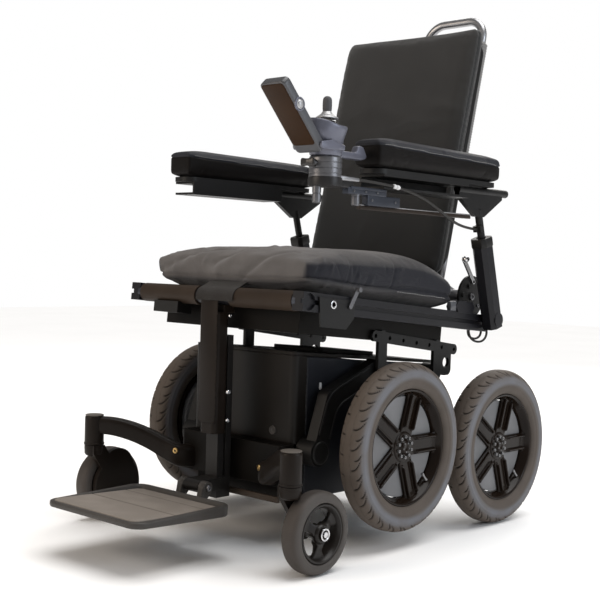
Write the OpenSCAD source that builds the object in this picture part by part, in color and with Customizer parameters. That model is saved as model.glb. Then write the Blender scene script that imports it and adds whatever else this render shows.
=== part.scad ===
// Powered all-terrain wheelchair with two turning wheel clusters and swivelling front casters.
// Millimetres, +Z up, front towards -Y, left side at +X, origin on the floor under the middle.

/* [Drive wheels] */
// Outer diameter of a drive tyre
tyre_d = 350; // [330:1:354]
// Width of a drive tyre
tyre_w = 58; // [50:1:60]
// Distance between the wheel planes of the two sides
wheel_track = 579; // [577:1:620]
// Distance between the two axles of one cluster
axle_gap = 360; // [358:1:380]
// Diameter at the tyre bead
bead_d = 242; // [226:1:250]
// Slope of the clusters, front wheels raised
cluster_tilt = 5.4; // [4:0.1:7]
// Place of the rear axle behind the origin
rear_axle_y = 379; // [372:1:390]
// Number of spokes in a rim
spoke_count = 5; // [3:1:6]

/* [Casters] */
// Outer diameter of a caster wheel
caster_d = 158; // [140:1:160]
// Width of a caster wheel
caster_w = 42; // [34:1:44]
// Sideways place of a caster stem
stem_x = 295; // [288:1:310]
// Fore and aft place of a caster stem
stem_y = -318; // [-330:1:-312]
// Distance from stem axis to caster axle
caster_trail = 54; // [50:1:58]
// Radius of the barrel round a caster stem
barrel_r = 21; // [19:1:24]
// Height of the barrel round a caster stem
barrel_h = 64; // [50:1:75]

/* [Powerbase] */
// Width over the side covers
base_w = 300; // [288:1:304]
// Front face of the powerbase
base_front_y = -158; // [-165:1:-155]
// Rear face of the powerbase
base_rear_y = 319; // [300:1:330]
// Underside of the powerbase
base_floor_z = 95; // [85:1:105]
// Top edge of the powerbase at its front
base_top_z = 401; // [395:1:403]
// Wall thickness of the tray
tray_wall = 5; // [4:0.5:6]
// Thickness of the outer covers
cover_t = 8; // [6:0.5:9]

/* [Seat lift] */
// Front lift pivot, fore and aft
lift_y = -122; // [-124:1:-118]
// Front lift pivot height
lift_z = 197; // [195:1:200]
// Run of a lift arm from pivot to pivot
link_y = 180; // [178:1:183]
// Rise of a lift arm from pivot to pivot
link_z = 161; // [159:1:163]
// Distance between front and rear lift arms
link_gap = 201; // [199:1:205]

/* [Seat] */
// Backward tilt of the seat
seat_tilt = 5; // [4.5:0.1:5.5]
// Front tube, fore and aft
tube_y = -237; // [-242:1:-234]
// Front tube height
tube_z = 508; // [506:1:514]
// Diameter of the cross tubes
tube_d = 33; // [28:1:34]
// Outer half width of the seat rails
rail_out_x = 256; // [254:1:257]
// Width of a seat rail
rail_w = 28; // [24:1:30]
// Height of a seat rail
rail_h = 38; // [34:1:40]
// Length of a seat rail
rail_len = 634; // [628:1:640]
// Width of the seat cushion
cushion_w = 500; // [460:1:506]
// Length of the seat cushion
cushion_len = 484; // [460:1:486]
// Thickness of the seat cushion at its front
cushion_front_h = 78; // [66:1:82]
// Thickness of the seat cushion at its rear
cushion_rear_h = 120; // [100:1:122]

/* [Backrest] */
// Recline of the backrest from upright
back_recline = 13.6; // [12:0.1:15]
// Height of the back cushion along its slope
back_len = 598; // [560:1:604]
// Width of the back cushion
back_w = 414; // [380:1:416]
// Thickness of the back cushion
back_t = 42; // [34:1:46]

/* [Armrests] */
// Middle of an arm pad, sideways
pad_x = 278; // [278:1:282]
// Length of an arm pad
pad_len = 434; // [420:1:440]
// Width of an arm pad
pad_w = 72; // [60:1:72]
// Height of an arm pad
pad_h = 60; // [56:1:62]
// Top of an arm pad
pad_top_z = 832; // [830:1:836]
// Forward lean of the arm posts
arm_lean = 16; // [15:0.1:17]
// Diameter of an arm stalk
stalk_d = 17; // [14:1:18]

/* [Control] */
// Joystick axis, sideways
stick_x = 278; // [276:1:282]
// Joystick axis, fore and aft
stick_y = -228; // [-232:1:-226]
// Radius of the joystick clamp drum
drum_r = 31; // [28:0.5:32]
// Length of the display
display_len = 158; // [150:1:165]
// Width of the display
display_w = 62; // [50:1:62]
// Forward lean of the display
display_lean = 43; // [40:1:46]

/* [Footrest] */
// Width of the footplate
foot_w = 282; // [250:1:292]
// Depth of the footplate
foot_len = 244; // [220:1:246]
// Top of the footplate
foot_z = 98; // [94:1:100]
// Width of the footrest post
post_w = 46; // [42:1:50]
// Top of the footrest post
post_top_z = 476; // [470:1:478]

/* [Hidden] */
$fn = 48;
// Running gap of a shaft in its bore
run_gap = 0.05;
// Gap between bodies that move past each other
clear_gap = 0.4;
// Overrun of every cut
over = 2;
// Seam between two covers
seam = 1;
// Width of a link between its round ends
neck_share = 0.98;

// Drive wheels
tyre_r = tyre_d / 2;
bead_r = bead_d / 2;
wheel_x = wheel_track / 2;
shoulder_r = 24;
rim_t = 10;
rim_out = 20;
rim_in = 3;
rim_face_x = wheel_x + rim_out;
rim_back_x = wheel_x - tyre_w / 2 + rim_in;
hub_r = 34;
hub_t = 16;
spoke_w = 36;
spoke_t = 8;
spoke_rib_w = 9;
spoke_rib_t = 6;
axle_r = 12;
stud_r = 4;
stud_ring_r = 22;
stud_t = 4;
drum_gap = 7;
drum_face_gap = 5;

// Clusters
half_gap = axle_gap / 2;
pivot_y = rear_axle_y - half_gap * cos(cluster_tilt);
pivot_z = tyre_r + half_gap * sin(cluster_tilt);
case_gap = 2.5;
case_out_x = wheel_x - tyre_w / 2 - case_gap;
case_end_r = 64;
case_mid_r = 84;
case_wall = 9;
shaft_r = 20;

// Casters
caster_r = caster_d / 2;
caster_side = 17;
caster_y = stem_y + caster_trail;
caster_x = stem_x + caster_side;
crown_gap = 3;
crown_z = caster_d + crown_gap;
crown_t = 9;
barrel_z = crown_z + crown_t + clear_gap;
pin_r = 10;
fork_t = 12;
fork_gap = 3;
caster_axle_r = 6;
shroud_r = 60;
shroud_top_r = 42;
shroud_up = 38;
axle_boss_r = 17;
axle_cap_r = 13;
axle_cap_t = 3;
caster_tyre_t = 22;
caster_hub_r = caster_r - caster_tyre_t;
caster_tyre_round = 10;
caster_window_r = 13;
caster_window_ring_r = 31;
caster_windows = 3;
caster_hub_in = 4;
caster_arm_w = 38;
caster_arm_top = 1;
caster_arm_h = 38;
stem_cap = 8;
fork_share = 0.7;
caster_root_x = 128;
caster_root_z = 150;
caster_bolt_r = 9;
caster_bolt_t = 5;

// Powerbase
base_slope = 4.5;
base_half = base_w / 2;
tray_half = base_half - cover_t - seam;
tray_top_z = 346;
bumper_depth = 34;
bumper_low_z = 128;
bumper_high_z = 212;
bumper_round = 10;
corner_r = 14;
panel_gap = 2;
side_round = 16;
lid_t = 7;
hatch_w = 150;
hatch_len = 190;
hatch_t = 9;
hatch_y = 20;
battery_gap = 6;
battery_h = 210;
battery_front_y = -92;
battery_len = 150;
motor_r = 52;
motor_half = 70;
motor_foot_w = 60;

// Lift arms
lift_r = 14;
lift_boss_r = 29;
lift_arm_w = 44;
side_room = wheel_x - tyre_w / 2 - base_half;
lift_in_share = 0.163;
lift_out_share = 0.398;
case_share = 0.398;
lift_in_x = base_half + side_room * lift_in_share;
lift_out_x = base_half + side_room * lift_out_share;
case_in_x = case_out_x - side_room * case_share;
pocket_share = 0.5;
case_pocket = (case_out_x - case_in_x) * pocket_share;
rear_lift_y = lift_y + link_gap * cos(seat_tilt);
rear_lift_z = lift_z - link_gap * sin(seat_tilt);
elbow_shares = [0.2, 0.66];
hang_pin_r = 9;

// Seat frame
tube_r = tube_d / 2;
rail_in_x = rail_out_x - rail_w;
rail_start = -18;
slot_h = 9;
slot_d = 7;
sleeve_t = 3.5;
sleeve_in_x = 50;
sleeve_end_gap = 3;
tube_over = 6;
rear_tube_u = 548;
rear_tube_r = 13;
pan_t = 4;
bar_gap = 3;
pan_half = lift_out_x + bar_gap;
pan_low = 62;
pan_wall = 3;
pan_start = 40;
pan_end = 522;
cushion_u = 14;
cushion_sag = 48;
bar_t = 8;
bar_h = 24;
bar_front_y = 33;
bar_front_z = 432;
bar_rear_y = 322;
bar_rear_z = 393;
bar_holes = 7;
bar_hole_r = 4.5;
leg_w = 30;
eye_w = 40;
eye_h = 60;
eye_up = 24;
eye_r = 12;
eye_round = 14;
plate_t = 3.4;
plate_len = 108;
plate_h = 58;
plate_u = 24;
plate_drop = 46;
plate_shares = [0.1, 0.4, 0.8, 0.84];
lever_r = 5;
lever_len = 40;
lever_w = 10;
lever_t = 4;
lever_turn = 28;
box_w = 76;
box_d = 40;
box_h = 24;
box_x = -136;
crown_share = 0.06;
grip_u = 484;
grip_run = 72;
grip_h = 24;
grip_cut = 9;
grip_in = 5;
grip_out = 3.4;

// Recline plates, arm pivots and back pivots
recline_t = 6;
recline_in_x = rail_in_x - recline_t;
recline_front_y = 326;
recline_run = 48;
recline_low_z = 444;
back_pivot_y = 351;
back_pivot_z = 515;
arm_pivot_y = 362;
arm_pivot_z = 465;
pivot_pin_r = 8;
quadrant_r = 49;
quadrant_bolt_r = 5;
quadrant_bolt_t = 4;
quadrant_bolt_shares = [[-0.73, 0.08], [-0.45, -0.33], [-0.61, -0.57], [-0.22, 0.48]];
tilt_pin_r = 4;
tilt_hub_shares = [0.06, 0.71];
tilt_hub = [back_pivot_y, back_pivot_z] + quadrant_r * tilt_hub_shares;
tilt_run = 41;
tilt_rise = 51;
tilt_tip = tilt_hub + [-tilt_run, tilt_rise];
tilt_t = 4;
tilt_w = 11;
tilt_ball_r = 8;

// Backrest
back_y = 237;
back_z = 540;
back_rise = 30;
shell_t = 12;
shell_inset = 18;
shell_round = 40;
hoop_x = 170;
hoop_r = 10;
shell_back = back_t + clear_gap + shell_t;
hoop_n = shell_back + hoop_r;
hoop_low = 10;
hoop_top = 670;
hoop_short = 480;
hoop_tail = 490;
hoop_inner_x = 8;
hoop_bend = 45;
hoop_plate = 12;
hoop_clamp_shares = [0.25, 0.7];
hoop_clamp_h = 30;
hoop_clamp_w = 14;
eye_block = 36;
hoop_root = [
    back_y + hoop_n * cos(back_recline) + hoop_low * sin(back_recline),
    back_z - hoop_n * sin(back_recline) + hoop_low * cos(back_recline)
];

// Armrests
post_x = pad_x;
post_t = 38;
post_d = 42;
post_cut = 9;
post_low = 19;
post_len = 190;
socket_len = 140;
stalk_room = 20;
disc_r = 16;
disc_t = 1.6;
pad_front_y = -108;
pad_base_t = 10;
pad_base_inset = 4;
pad_base_round = 26;
channel_h = 30;
channel_wall = 5;
channel_front_gap = 20;
channel_rear_y = 206;
tri_t = 12;
tri_front_y = 208;
tri_rear_y = 379;
tri_edge = 15;
tri_apex_y = 292;
tri_apex_z = 696;
tri_apex_w = 32;
bar_end_y = 400;
bar_r = 9;
clip_w = 20;
clip_h = 14;
clip_reach = 14;
clip_up = 215;

// Joystick
drum_low_z = 746;
drum_h = 37.6;
mount_t = 19;
mount_r = 33;
tail_in = 16;
tail_out = 22;
tail_len = 60;
tab_in = 18;
tab_t = 10;
tab_drop = 7;
tab_start = 13;
tab_end = 70;
hang_r = 8.5;
hang_len = 32;
hang_front = 23;
hang_rear = 77;
hang_out = 12;
slide_in = 6;
slide_start = 43;
slide_end = 162;
slide_low_z = 717;
step_start = 103;
step_end = 206;
step_low_z = 697;
strip_in = 2;
strip_w = 10;
strip_low_z = 689;
strip_start = 92;
strip_end = 474;
pod_r = 30;
pod_neck_h = 44;
lip_r = 38;
lip_t = 12;
spigot_r = 12;
spigot_len = 18;
reach_len = 112;
reach_w = 16;
reach_t = 12;
wedge_len = 30;
wedge_h = 28;
ear_t = 5;
ear_h = 15;
ear_reach = 62;
display_t = 20;
display_round = 8;
display_y = -274;
display_z = 798;
display_foot = 8;
display_pin_r = 4;
button_r = 9;
button_t = 6;
button_up = 2.5;
button_travel = 1.5;
button_share = 0.6;
dome_share = 0.6;
ball_r = 7;
ball_drop = 6;
boot_r = 20;
boot_rise = 11;
neck_r = 5;
cap_rise = 14;
cap_t = 3;
skirt_r = 24;
skirt_rise = 24;
skirt_t = 3;
stick_r = 7;
grip_r = 9;
grip_rise = 34;
grip_len = 30;
knob_r = 6;
knob_len = 26;
knob_depth = 10;
wing_w = 34;
wing_h = 12;
wing_t = 8;
wing_round = 4;
knob_drop = 14;

// Footrest
hinge_y = -286;
hinge_z = 122;
hinge_r = 13;
hinge_pin_r = 5;
lug_w = 44;
knuckle_w = 18;
foot_front_y = -554;
foot_tilt = 2;
foot_t = 12;
foot_rim_t = 7;
foot_rim_h = 10;
foot_round = 26;
mat_t = 3;
mat_inset = 3;
cover_front_y = -258;
cover_d = 36;
cover_low_z = 226;
cover_lip = 16;
slide_half = 17;
slide_d = 38;
slide_top_z = 428;
slide_foot_z = 92;
groove_w = 8;
groove_d = 6;
clamp_w = 84;
clamp_back = 28;
clamp_rise = 8;
saddle_t = 4;
clamp_round = 10;

// Cables
cable_r = 3;
cable_lead = 0.9;
harness_r = 2.6;
harness_lead = 0.5;
cord_sides = 8;
cable_start = [
    stick_x + tab_in + tab_t / 2, stick_y + tab_end + clear_gap, drum_low_z - tab_drop + tab_t / 2
];
cable_end = [
    post_x,
    arm_pivot_y - (clip_reach + cable_lead) * cos(arm_lean) - clip_up * sin(arm_lean),
    arm_pivot_z - (clip_reach + cable_lead) * sin(arm_lean) + clip_up * cos(arm_lean)
];
cable_route = [
    cable_start, [301, -150, 744], [303, -137, 744], [307.5, -118, 743], [312.5, -101, 741.5],
    [315, -84, 740], [315.5, -66, 738.5], [315.5, -45, 736], [315, -18, 732.5], [313.5, 14, 727],
    [311, 50, 719], [307.5, 86, 708], [304, 118, 696], [300.5, 148, 685], [295, 182, 676],
    [288, 218, 671], [281.5, 254, 669], cable_end
];
rail_end = rail_start + rail_len;
harness_n = -rail_h / 2 - harness_lead;
harness_u = rail_end + harness_lead;
outer_loop = [
    [242, 566, harness_n], [242, 566, -26], [242.5, 568.5, -33], [243.5, 575.5, -39], [244.5, 586, -43],
    [245.5, 599, -44.5], [246.5, 613, -43], [247, 625, -38], [247, 633, -29], [246, 635.5, -18.5],
    [244.5, 633, -8], [243, 627.5, -1.5], [242, 621, 0], [242, harness_u, 0]
];
inner_loop = [
    [234, 574, harness_n], [234, 574, -25], [234, 577, -31], [234.5, 584.5, -35.5], [235, 595, -37.5],
    [235.5, 606, -37], [236, 616, -34], [236, 623.5, -28.5], [235.5, 627, -21], [235, 626.5, -14],
    [234.5, 624, -9.5], [234, 620, -8.5], [234, harness_u, -8.5]
];

// Shared shapes
module on_side(s) {
    mirror([s < 0 ? 1 : 0, 0, 0]) children();
}

module both_sides() {
    for (s = [-1, 1]) on_side(s) children();
}

module x_rod(x0, x1, y, z, r) {
    translate([x0, y, z]) rotate([0, 90, 0]) cylinder(h = x1 - x0, r = r);
}

module y_rod(x, y0, y1, z, r) {
    translate([x, y0, z]) rotate([-90, 0, 0]) cylinder(h = y1 - y0, r = r);
}

module z_rod(x, y, z0, z1, r) {
    translate([x, y, z0]) cylinder(h = z1 - z0, r = r);
}

module block(low, high) {
    translate(low) cube(high - low);
}

// A flat outline in Y and Z, given thickness along X
module slab(x0, x1) {
    translate([x0, 0, 0]) rotate([90, 0, 90]) linear_extrude(x1 - x0) children();
}

module round_rect(w, d, r) {
    square([w - 2 * r, d], center = true);
    square([w, d - 2 * r], center = true);
    for (i = [-1, 1], j = [-1, 1]) translate([i * (w / 2 - r), j * (d / 2 - r)]) circle(r);
}

// A straight bar with round ends in Y and Z, drawn flat, a little narrower between its ends
module link_shape(a, b, w) {
    run = b - a;
    neck = w * neck_share;
    for (p = [a, b]) translate(p) circle(d = w);
    translate(a) rotate(atan2(run[1], run[0])) translate([0, -neck / 2]) square([norm(run), neck]);
}

module in_seat() {
    translate([0, tube_y, tube_z]) rotate([-seat_tilt, 0, 0]) children();
}

module in_back() {
    translate([0, back_y, back_z]) rotate([-back_recline, 0, 0]) children();
}

module in_arm() {
    translate([0, arm_pivot_y, arm_pivot_z]) rotate([arm_lean, 0, 0]) children();
}

module in_display() {
    translate([stick_x, display_y, display_z]) rotate([display_lean, 0, 0]) children();
}

// Faces of a closed skin over rings of points, with a middle point at each end
function skin_faces(rings, sides) = concat(
    [for (i = [0 : rings - 2], k = [0 : sides - 1]) let (n = (k + 1) % sides)
        [i * sides + k, (i + 1) * sides + n, (i + 1) * sides + k]],
    [for (i = [0 : rings - 2], k = [0 : sides - 1]) let (n = (k + 1) % sides)
        [i * sides + k, i * sides + n, (i + 1) * sides + n]],
    [for (k = [0 : sides - 1]) [rings * sides, (k + 1) % sides, k]],
    [for (k = [0 : sides - 1]) let (last = (rings - 1) * sides)
        [rings * sides + 1, last + k, last + (k + 1) % sides]]
);

function flat(lists) = [for (l = lists) each l];

function mean(points) = [for (k = [0 : 2]) [for (p = points) p[k]] * [for (p = points) 1] / len(points)];

function signed_power(v, n) = sign(v) * pow(abs(v), n);

// Soft pads: shares that shape the crown, the drawn-in sides, the rounded ends and the falling rear
pillow_rings = 22;
pillow_sides = 32;
end_power = 5;
corner_share = 0.1;
draw_share = 0.02;
end_share = 0.62;
pad_end_share = 0.28;
edge_share = 0.42;
end_inset_share = 0.004;
sag_share = 0.62;

function pillow_ring(t, run, w, h0, h1, crown, sag, ends) = let (
    e = pow(1 - pow(abs(2 * t - 1), end_power), 1 / end_power),
    half_w = w / 2 * (1 - corner_share * (1 - e) - draw_share * sin(180 * t)),
    fall = max(0, (t - sag_share) / (1 - sag_share)),
    h = h0 + (h1 - h0) * t - sag * fall * fall
) [for (k = [0 : pillow_sides - 1]) let (
    c = signed_power(cos(360 * k / pillow_sides), edge_share),
    s = signed_power(sin(360 * k / pillow_sides), edge_share),
    lift = s > 0 ? crown * s * e * (1 - c * c) : 0
) [half_w * c, run * t, h / 2 * (1 + s * (1 - ends * (1 - e))) + lift]];

module pillow(run, w, h0, h1, crown, sag, ends) {
    rings = [for (i = [0 : pillow_rings - 1])
        let (along = (1 - cos(180 * i / (pillow_rings - 1))) / 2)
        let (t = end_inset_share + (1 - 2 * end_inset_share) * along)
        pillow_ring(t, run, w, h0, h1, crown, sag, ends)];
    polyhedron(
        points = concat(flat(rings), [mean(rings[0]), mean(rings[pillow_rings - 1])]),
        faces = skin_faces(pillow_rings, pillow_sides)
    );
}

// A round cord swept along its route
function unit(v) = v / norm(v);

function heading(route, i) = unit(route[min(i + 1, len(route) - 1)] - route[max(i - 1, 0)]);

function cord_ring(route, i, r) = let (
    t = heading(route, i),
    across = unit([1, 0, 0] - t * t[0]),
    up = cross(across, t)
) [for (k = [0 : cord_sides - 1])
    route[i] + r * (across * cos(360 * k / cord_sides) + up * sin(360 * k / cord_sides))];

module cord(route, r) {
    rings = [for (i = [0 : len(route) - 1]) cord_ring(route, i, r)];
    polyhedron(
        points = concat(flat(rings), [route[0], route[len(route) - 1]]),
        faces = skin_faces(len(route), cord_sides)
    );
}

// Powerbase
module shaft_holes(x0, x1, gap) {
    x_rod(x0, x1, pivot_y, pivot_z, shaft_r + gap);
    x_rod(x0, x1, lift_y, lift_z, lift_r + gap);
    x_rod(x0, x1, rear_lift_y, rear_lift_z, lift_r + gap);
}

module base_tray() {
    front = base_front_y + cover_t + seam;
    rear = base_rear_y - seam;
    color("#1c1a19") difference() {
        union() {
            block([-tray_half, front, base_floor_z], [tray_half, rear, tray_top_z]);
            translate([0, 0, bumper_low_z]) linear_extrude(bumper_high_z - bumper_low_z)
                translate([0, (front + base_front_y - bumper_depth) / 2])
                round_rect(base_w, front - base_front_y + bumper_depth, bumper_round);
        }
        block([-tray_half + tray_wall, front + tray_wall, base_floor_z + tray_wall],
            [tray_half - tray_wall, rear - tray_wall, tray_top_z + over]);
        shaft_holes(-base_half, base_half, clear_gap);
    }
}

module front_cover() {
    side = tray_half + seam;
    depth = 2 * corner_r + cover_t;
    color("#1b1918") difference() {
        translate([0, 0, bumper_high_z]) linear_extrude(base_top_z - bumper_high_z) difference() {
            intersection() {
                translate([0, base_front_y + depth]) round_rect(base_w, 2 * depth, corner_r);
                translate([-base_half, base_front_y]) square([base_w, depth]);
            }
            translate([-side, base_front_y + cover_t]) square([2 * side, depth]);
        }
        translate([0, base_front_y, base_top_z]) rotate([-base_slope, 0, 0])
            block([-base_w, -depth, -lid_t - clear_gap], [base_w, 2 * depth, depth]);
    }
}

module side_covers() {
    front = base_front_y + 2 * corner_r + cover_t + panel_gap;
    low = base_floor_z + side_round;
    drop = (base_rear_y - front) * tan(base_slope);
    high = base_top_z - lid_t - panel_gap - (front - base_front_y) * tan(base_slope);
    color("#1d1f26") both_sides() difference() {
        slab(tray_half + seam / 2, base_half) polygon([
            [front, low], [front + side_round, base_floor_z], [base_rear_y - side_round, base_floor_z],
            [base_rear_y, low], [base_rear_y, high - drop], [front, high]
        ]);
        shaft_holes(0, base_w, seam);
    }
}

module top_cover() {
    run = (base_rear_y - base_front_y) / cos(base_slope);
    color("#171615") translate([0, base_front_y, base_top_z]) rotate([-base_slope, 0, 0]) {
        translate([0, run / 2, -lid_t]) linear_extrude(lid_t) round_rect(base_w, run, corner_r);
        translate([0, run / 2 + hatch_y, 0]) linear_extrude(hatch_t)
            round_rect(hatch_w, hatch_len, corner_r);
    }
}

module battery_packs() {
    half = tray_half - tray_wall - battery_gap;
    floor = base_floor_z + tray_wall;
    color("#2a2d33") both_sides() block([battery_gap / 2, battery_front_y, floor],
        [half, battery_front_y + battery_len, floor + battery_h]);
}

module cluster_gearmotor() {
    floor = base_floor_z + tray_wall;
    color("#6f7276") difference() {
        union() {
            x_rod(-motor_half, motor_half, pivot_y, pivot_z, motor_r);
            block([-motor_half, pivot_y - motor_foot_w / 2, floor],
                [motor_half, pivot_y + motor_foot_w / 2, pivot_z]);
        }
        x_rod(-motor_half - over, motor_half + over, pivot_y, pivot_z, shaft_r + run_gap);
    }
}

module caster_arms() {
    root_y = base_front_y - bumper_depth;
    half = caster_arm_w / 2;
    top = barrel_z + barrel_h;
    color("#161514") both_sides() {
        difference() {
            union() {
                z_rod(stem_x, stem_y, barrel_z, top, barrel_r);
                hull() {
                    translate([stem_x, stem_y, top - caster_arm_top - caster_arm_h])
                        cylinder(h = caster_arm_h, d = caster_arm_w, $fn = 32);
                    translate([caster_root_x, root_y - half, caster_root_z - caster_arm_h / 2])
                        cylinder(h = caster_arm_h, d = caster_arm_w, $fn = 32);
                }
                block(
                    [caster_root_x - half, root_y - half, caster_root_z - caster_arm_h / 2],
                    [caster_root_x + half - bumper_round, root_y, caster_root_z + caster_arm_h / 2]
                );
            }
            z_rod(stem_x, stem_y, barrel_z - over, top - stem_cap / 2, pin_r + run_gap);
        }
        z_rod(caster_root_x, root_y - half, caster_root_z + caster_arm_h / 2,
            caster_root_z + caster_arm_h / 2 + caster_bolt_t, caster_bolt_r);
    }
}

// Clusters and drive wheels
function axle_y(end) = pivot_y + end * half_gap * cos(cluster_tilt);
function axle_z(end) = pivot_z - end * half_gap * sin(cluster_tilt);

module case_shape(grow) {
    translate([pivot_y, pivot_z]) circle(case_mid_r + grow);
    translate([pivot_y, pivot_z]) rotate(-cluster_tilt)
        square([axle_gap, 2 * (case_end_r + grow)], center = true);
    for (end = [-1, 1]) translate([axle_y(end), axle_z(end)]) circle(case_end_r + grow);
}

module cluster_case(s) {
    color("#202022") on_side(s) difference() {
        slab(case_in_x, case_out_x) case_shape(0);
        difference() {
            slab(case_in_x - over, case_in_x + case_pocket) case_shape(-case_wall);
            x_rod(case_in_x - over, case_out_x, pivot_y, pivot_z, shaft_r + case_wall);
            for (end = [-1, 1])
                x_rod(case_in_x - over, case_out_x, axle_y(end), axle_z(end), axle_r + case_wall);
        }
        x_rod(case_in_x - over, case_in_x + case_pocket, pivot_y, pivot_z, shaft_r + run_gap);
        for (end = [-1, 1])
            x_rod(case_in_x - over, case_out_x + over, axle_y(end), axle_z(end), axle_r + run_gap);
    }
}

module cluster_shaft() {
    reach = case_in_x + case_pocket;
    color("#8d9093") x_rod(-reach, reach, pivot_y, pivot_z, shaft_r);
}

module hub_motors() {
    drum_out_x = rim_face_x - hub_t - drum_face_gap;
    color("#a9abad") both_sides() for (end = [-1, 1]) difference() {
        x_rod(case_out_x, drum_out_x, axle_y(end), axle_z(end), bead_r - rim_t - drum_gap);
        x_rod(case_out_x - over, rim_face_x, axle_y(end), axle_z(end), axle_r + run_gap);
    }
}

module about_axle(s, end) {
    on_side(s) translate([0, axle_y(end), axle_z(end)]) children();
}

module drive_tyre(s, end) {
    color("#55524e") about_axle(s, end) rotate([0, 90, 0]) rotate_extrude() {
        translate([bead_r, wheel_x - tyre_w / 2]) square([tyre_r - shoulder_r - bead_r, tyre_w]);
        translate([bead_r, wheel_x - tyre_w / 2 + shoulder_r])
            square([tyre_r - bead_r, tyre_w - 2 * shoulder_r]);
        for (i = [-1, 1]) translate([tyre_r - shoulder_r, wheel_x + i * (tyre_w / 2 - shoulder_r)])
            circle(shoulder_r);
    }
}

module drive_rim(s, end) {
    back = rim_face_x - hub_t;
    root = back + seam;
    color("#151515") about_axle(s, end) {
        rotate([0, 90, 0]) rotate_extrude() translate([bead_r - rim_t, rim_back_x])
            square([rim_t, rim_face_x - rim_back_x]);
        x_rod(back, rim_face_x, 0, 0, hub_r);
        x_rod(case_in_x, root, 0, 0, axle_r);
        for (i = [0 : spoke_count - 1]) rotate([i * 360 / spoke_count, 0, 0]) {
            block([root, -spoke_w / 2, hub_r / 2], [back + spoke_t, spoke_w / 2, bead_r - rim_t / 2]);
            for (k = [-1, 1]) translate([0, k * (spoke_w - spoke_rib_w) / 2, 0])
                block([root, -spoke_rib_w / 2, hub_r / 2],
                    [back + spoke_t + spoke_rib_t, spoke_rib_w / 2, bead_r - rim_t / 2]);
            x_rod(back + hub_t / 2, rim_face_x + stud_t, 0, stud_ring_r, stud_r);
        }
    }
}

// Casters
module caster_fork(s) {
    leg_out = caster_x - caster_w / 2 - fork_gap;
    leg_in = leg_out - fork_t;
    half = barrel_r * fork_share;
    cap_x = caster_x + caster_w / 2;
    color("#191817") on_side(s) {
        z_rod(stem_x, stem_y, crown_z, crown_z + crown_t, barrel_r);
        z_rod(stem_x, stem_y, crown_z, barrel_z + barrel_h - stem_cap, pin_r);
        slab(leg_in, leg_out) {
            translate([caster_y, caster_r]) circle(s < 0 ? shroud_r : axle_boss_r);
            if (s < 0) translate([caster_y, caster_r + shroud_up]) circle(shroud_top_r);
            polygon([
                [stem_y - half, crown_z + crown_t], [stem_y - half, crown_z - crown_t],
                [caster_y - axle_boss_r, caster_r], [caster_y + axle_boss_r, caster_r],
                [stem_y + half, crown_z + crown_t]
            ]);
        }
        x_rod(leg_in, cap_x + axle_cap_t, caster_y, caster_r, caster_axle_r);
        x_rod(cap_x + clear_gap, cap_x + clear_gap + axle_cap_t, caster_y, caster_r, axle_cap_r);
    }
}

module caster_hub(s) {
    color("#121212") on_side(s) difference() {
        union() {
            x_rod(caster_x - caster_w / 2 + caster_hub_in, caster_x + caster_w / 2 - caster_hub_in,
                caster_y, caster_r, caster_hub_r);
            x_rod(caster_x - caster_w / 2, caster_x + caster_w / 2, caster_y, caster_r, axle_cap_r);
        }
        x_rod(stem_x - caster_r, stem_x + caster_r, caster_y, caster_r, caster_axle_r + run_gap);
        for (i = [0 : caster_windows - 1]) translate([0, caster_y, caster_r])
            rotate([i * 360 / caster_windows, 0, 0])
            x_rod(stem_x - caster_r, stem_x + caster_r, 0, caster_window_ring_r, caster_window_r);
    }
}

module caster_tyre(s) {
    half = caster_w / 2;
    color("#3a3a3c") on_side(s) translate([0, caster_y, caster_r]) rotate([0, 90, 0]) rotate_extrude() {
        translate([caster_hub_r, caster_x - half])
            square([caster_r - caster_tyre_round - caster_hub_r, caster_w]);
        translate([caster_hub_r, caster_x - half + caster_tyre_round])
            square([caster_r - caster_hub_r, caster_w - 2 * caster_tyre_round]);
        for (i = [-1, 1]) translate([caster_r - caster_tyre_round, caster_x + i * (half - caster_tyre_round)])
            circle(caster_tyre_round);
    }
}

// Seat lift
module lift_shaft(y, z) {
    x_rod(-lift_out_x, lift_out_x, y, z, lift_r);
}

module front_lift_arms() {
    low = [lift_y, lift_z];
    high = [lift_y + link_y, lift_z + link_z];
    elbow = [lift_y + link_y * elbow_shares[0], lift_z + link_z * elbow_shares[1]];
    color("#1a1a1d") {
        lift_shaft(lift_y, lift_z);
        both_sides() difference() {
            union() {
                x_rod(base_half + seam, lift_out_x, lift_y, lift_z, lift_boss_r);
                slab(lift_in_x, lift_out_x) {
                    link_shape(low, elbow, lift_arm_w);
                    link_shape(elbow, high, lift_arm_w);
                }
            }
            x_rod(lift_in_x - over, lift_out_x + over, high[0], high[1], hang_pin_r + clear_gap);
        }
    }
}

module rear_lift_arms() {
    low = [rear_lift_y, rear_lift_z];
    high = [rear_lift_y + link_y, rear_lift_z + link_z];
    color("#1a1a1d") {
        lift_shaft(rear_lift_y, rear_lift_z);
        both_sides() difference() {
            slab(lift_in_x, lift_out_x) link_shape(low, high, lift_arm_w);
            x_rod(lift_in_x - over, lift_out_x + over, high[0], high[1], hang_pin_r + run_gap);
        }
    }
}

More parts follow.
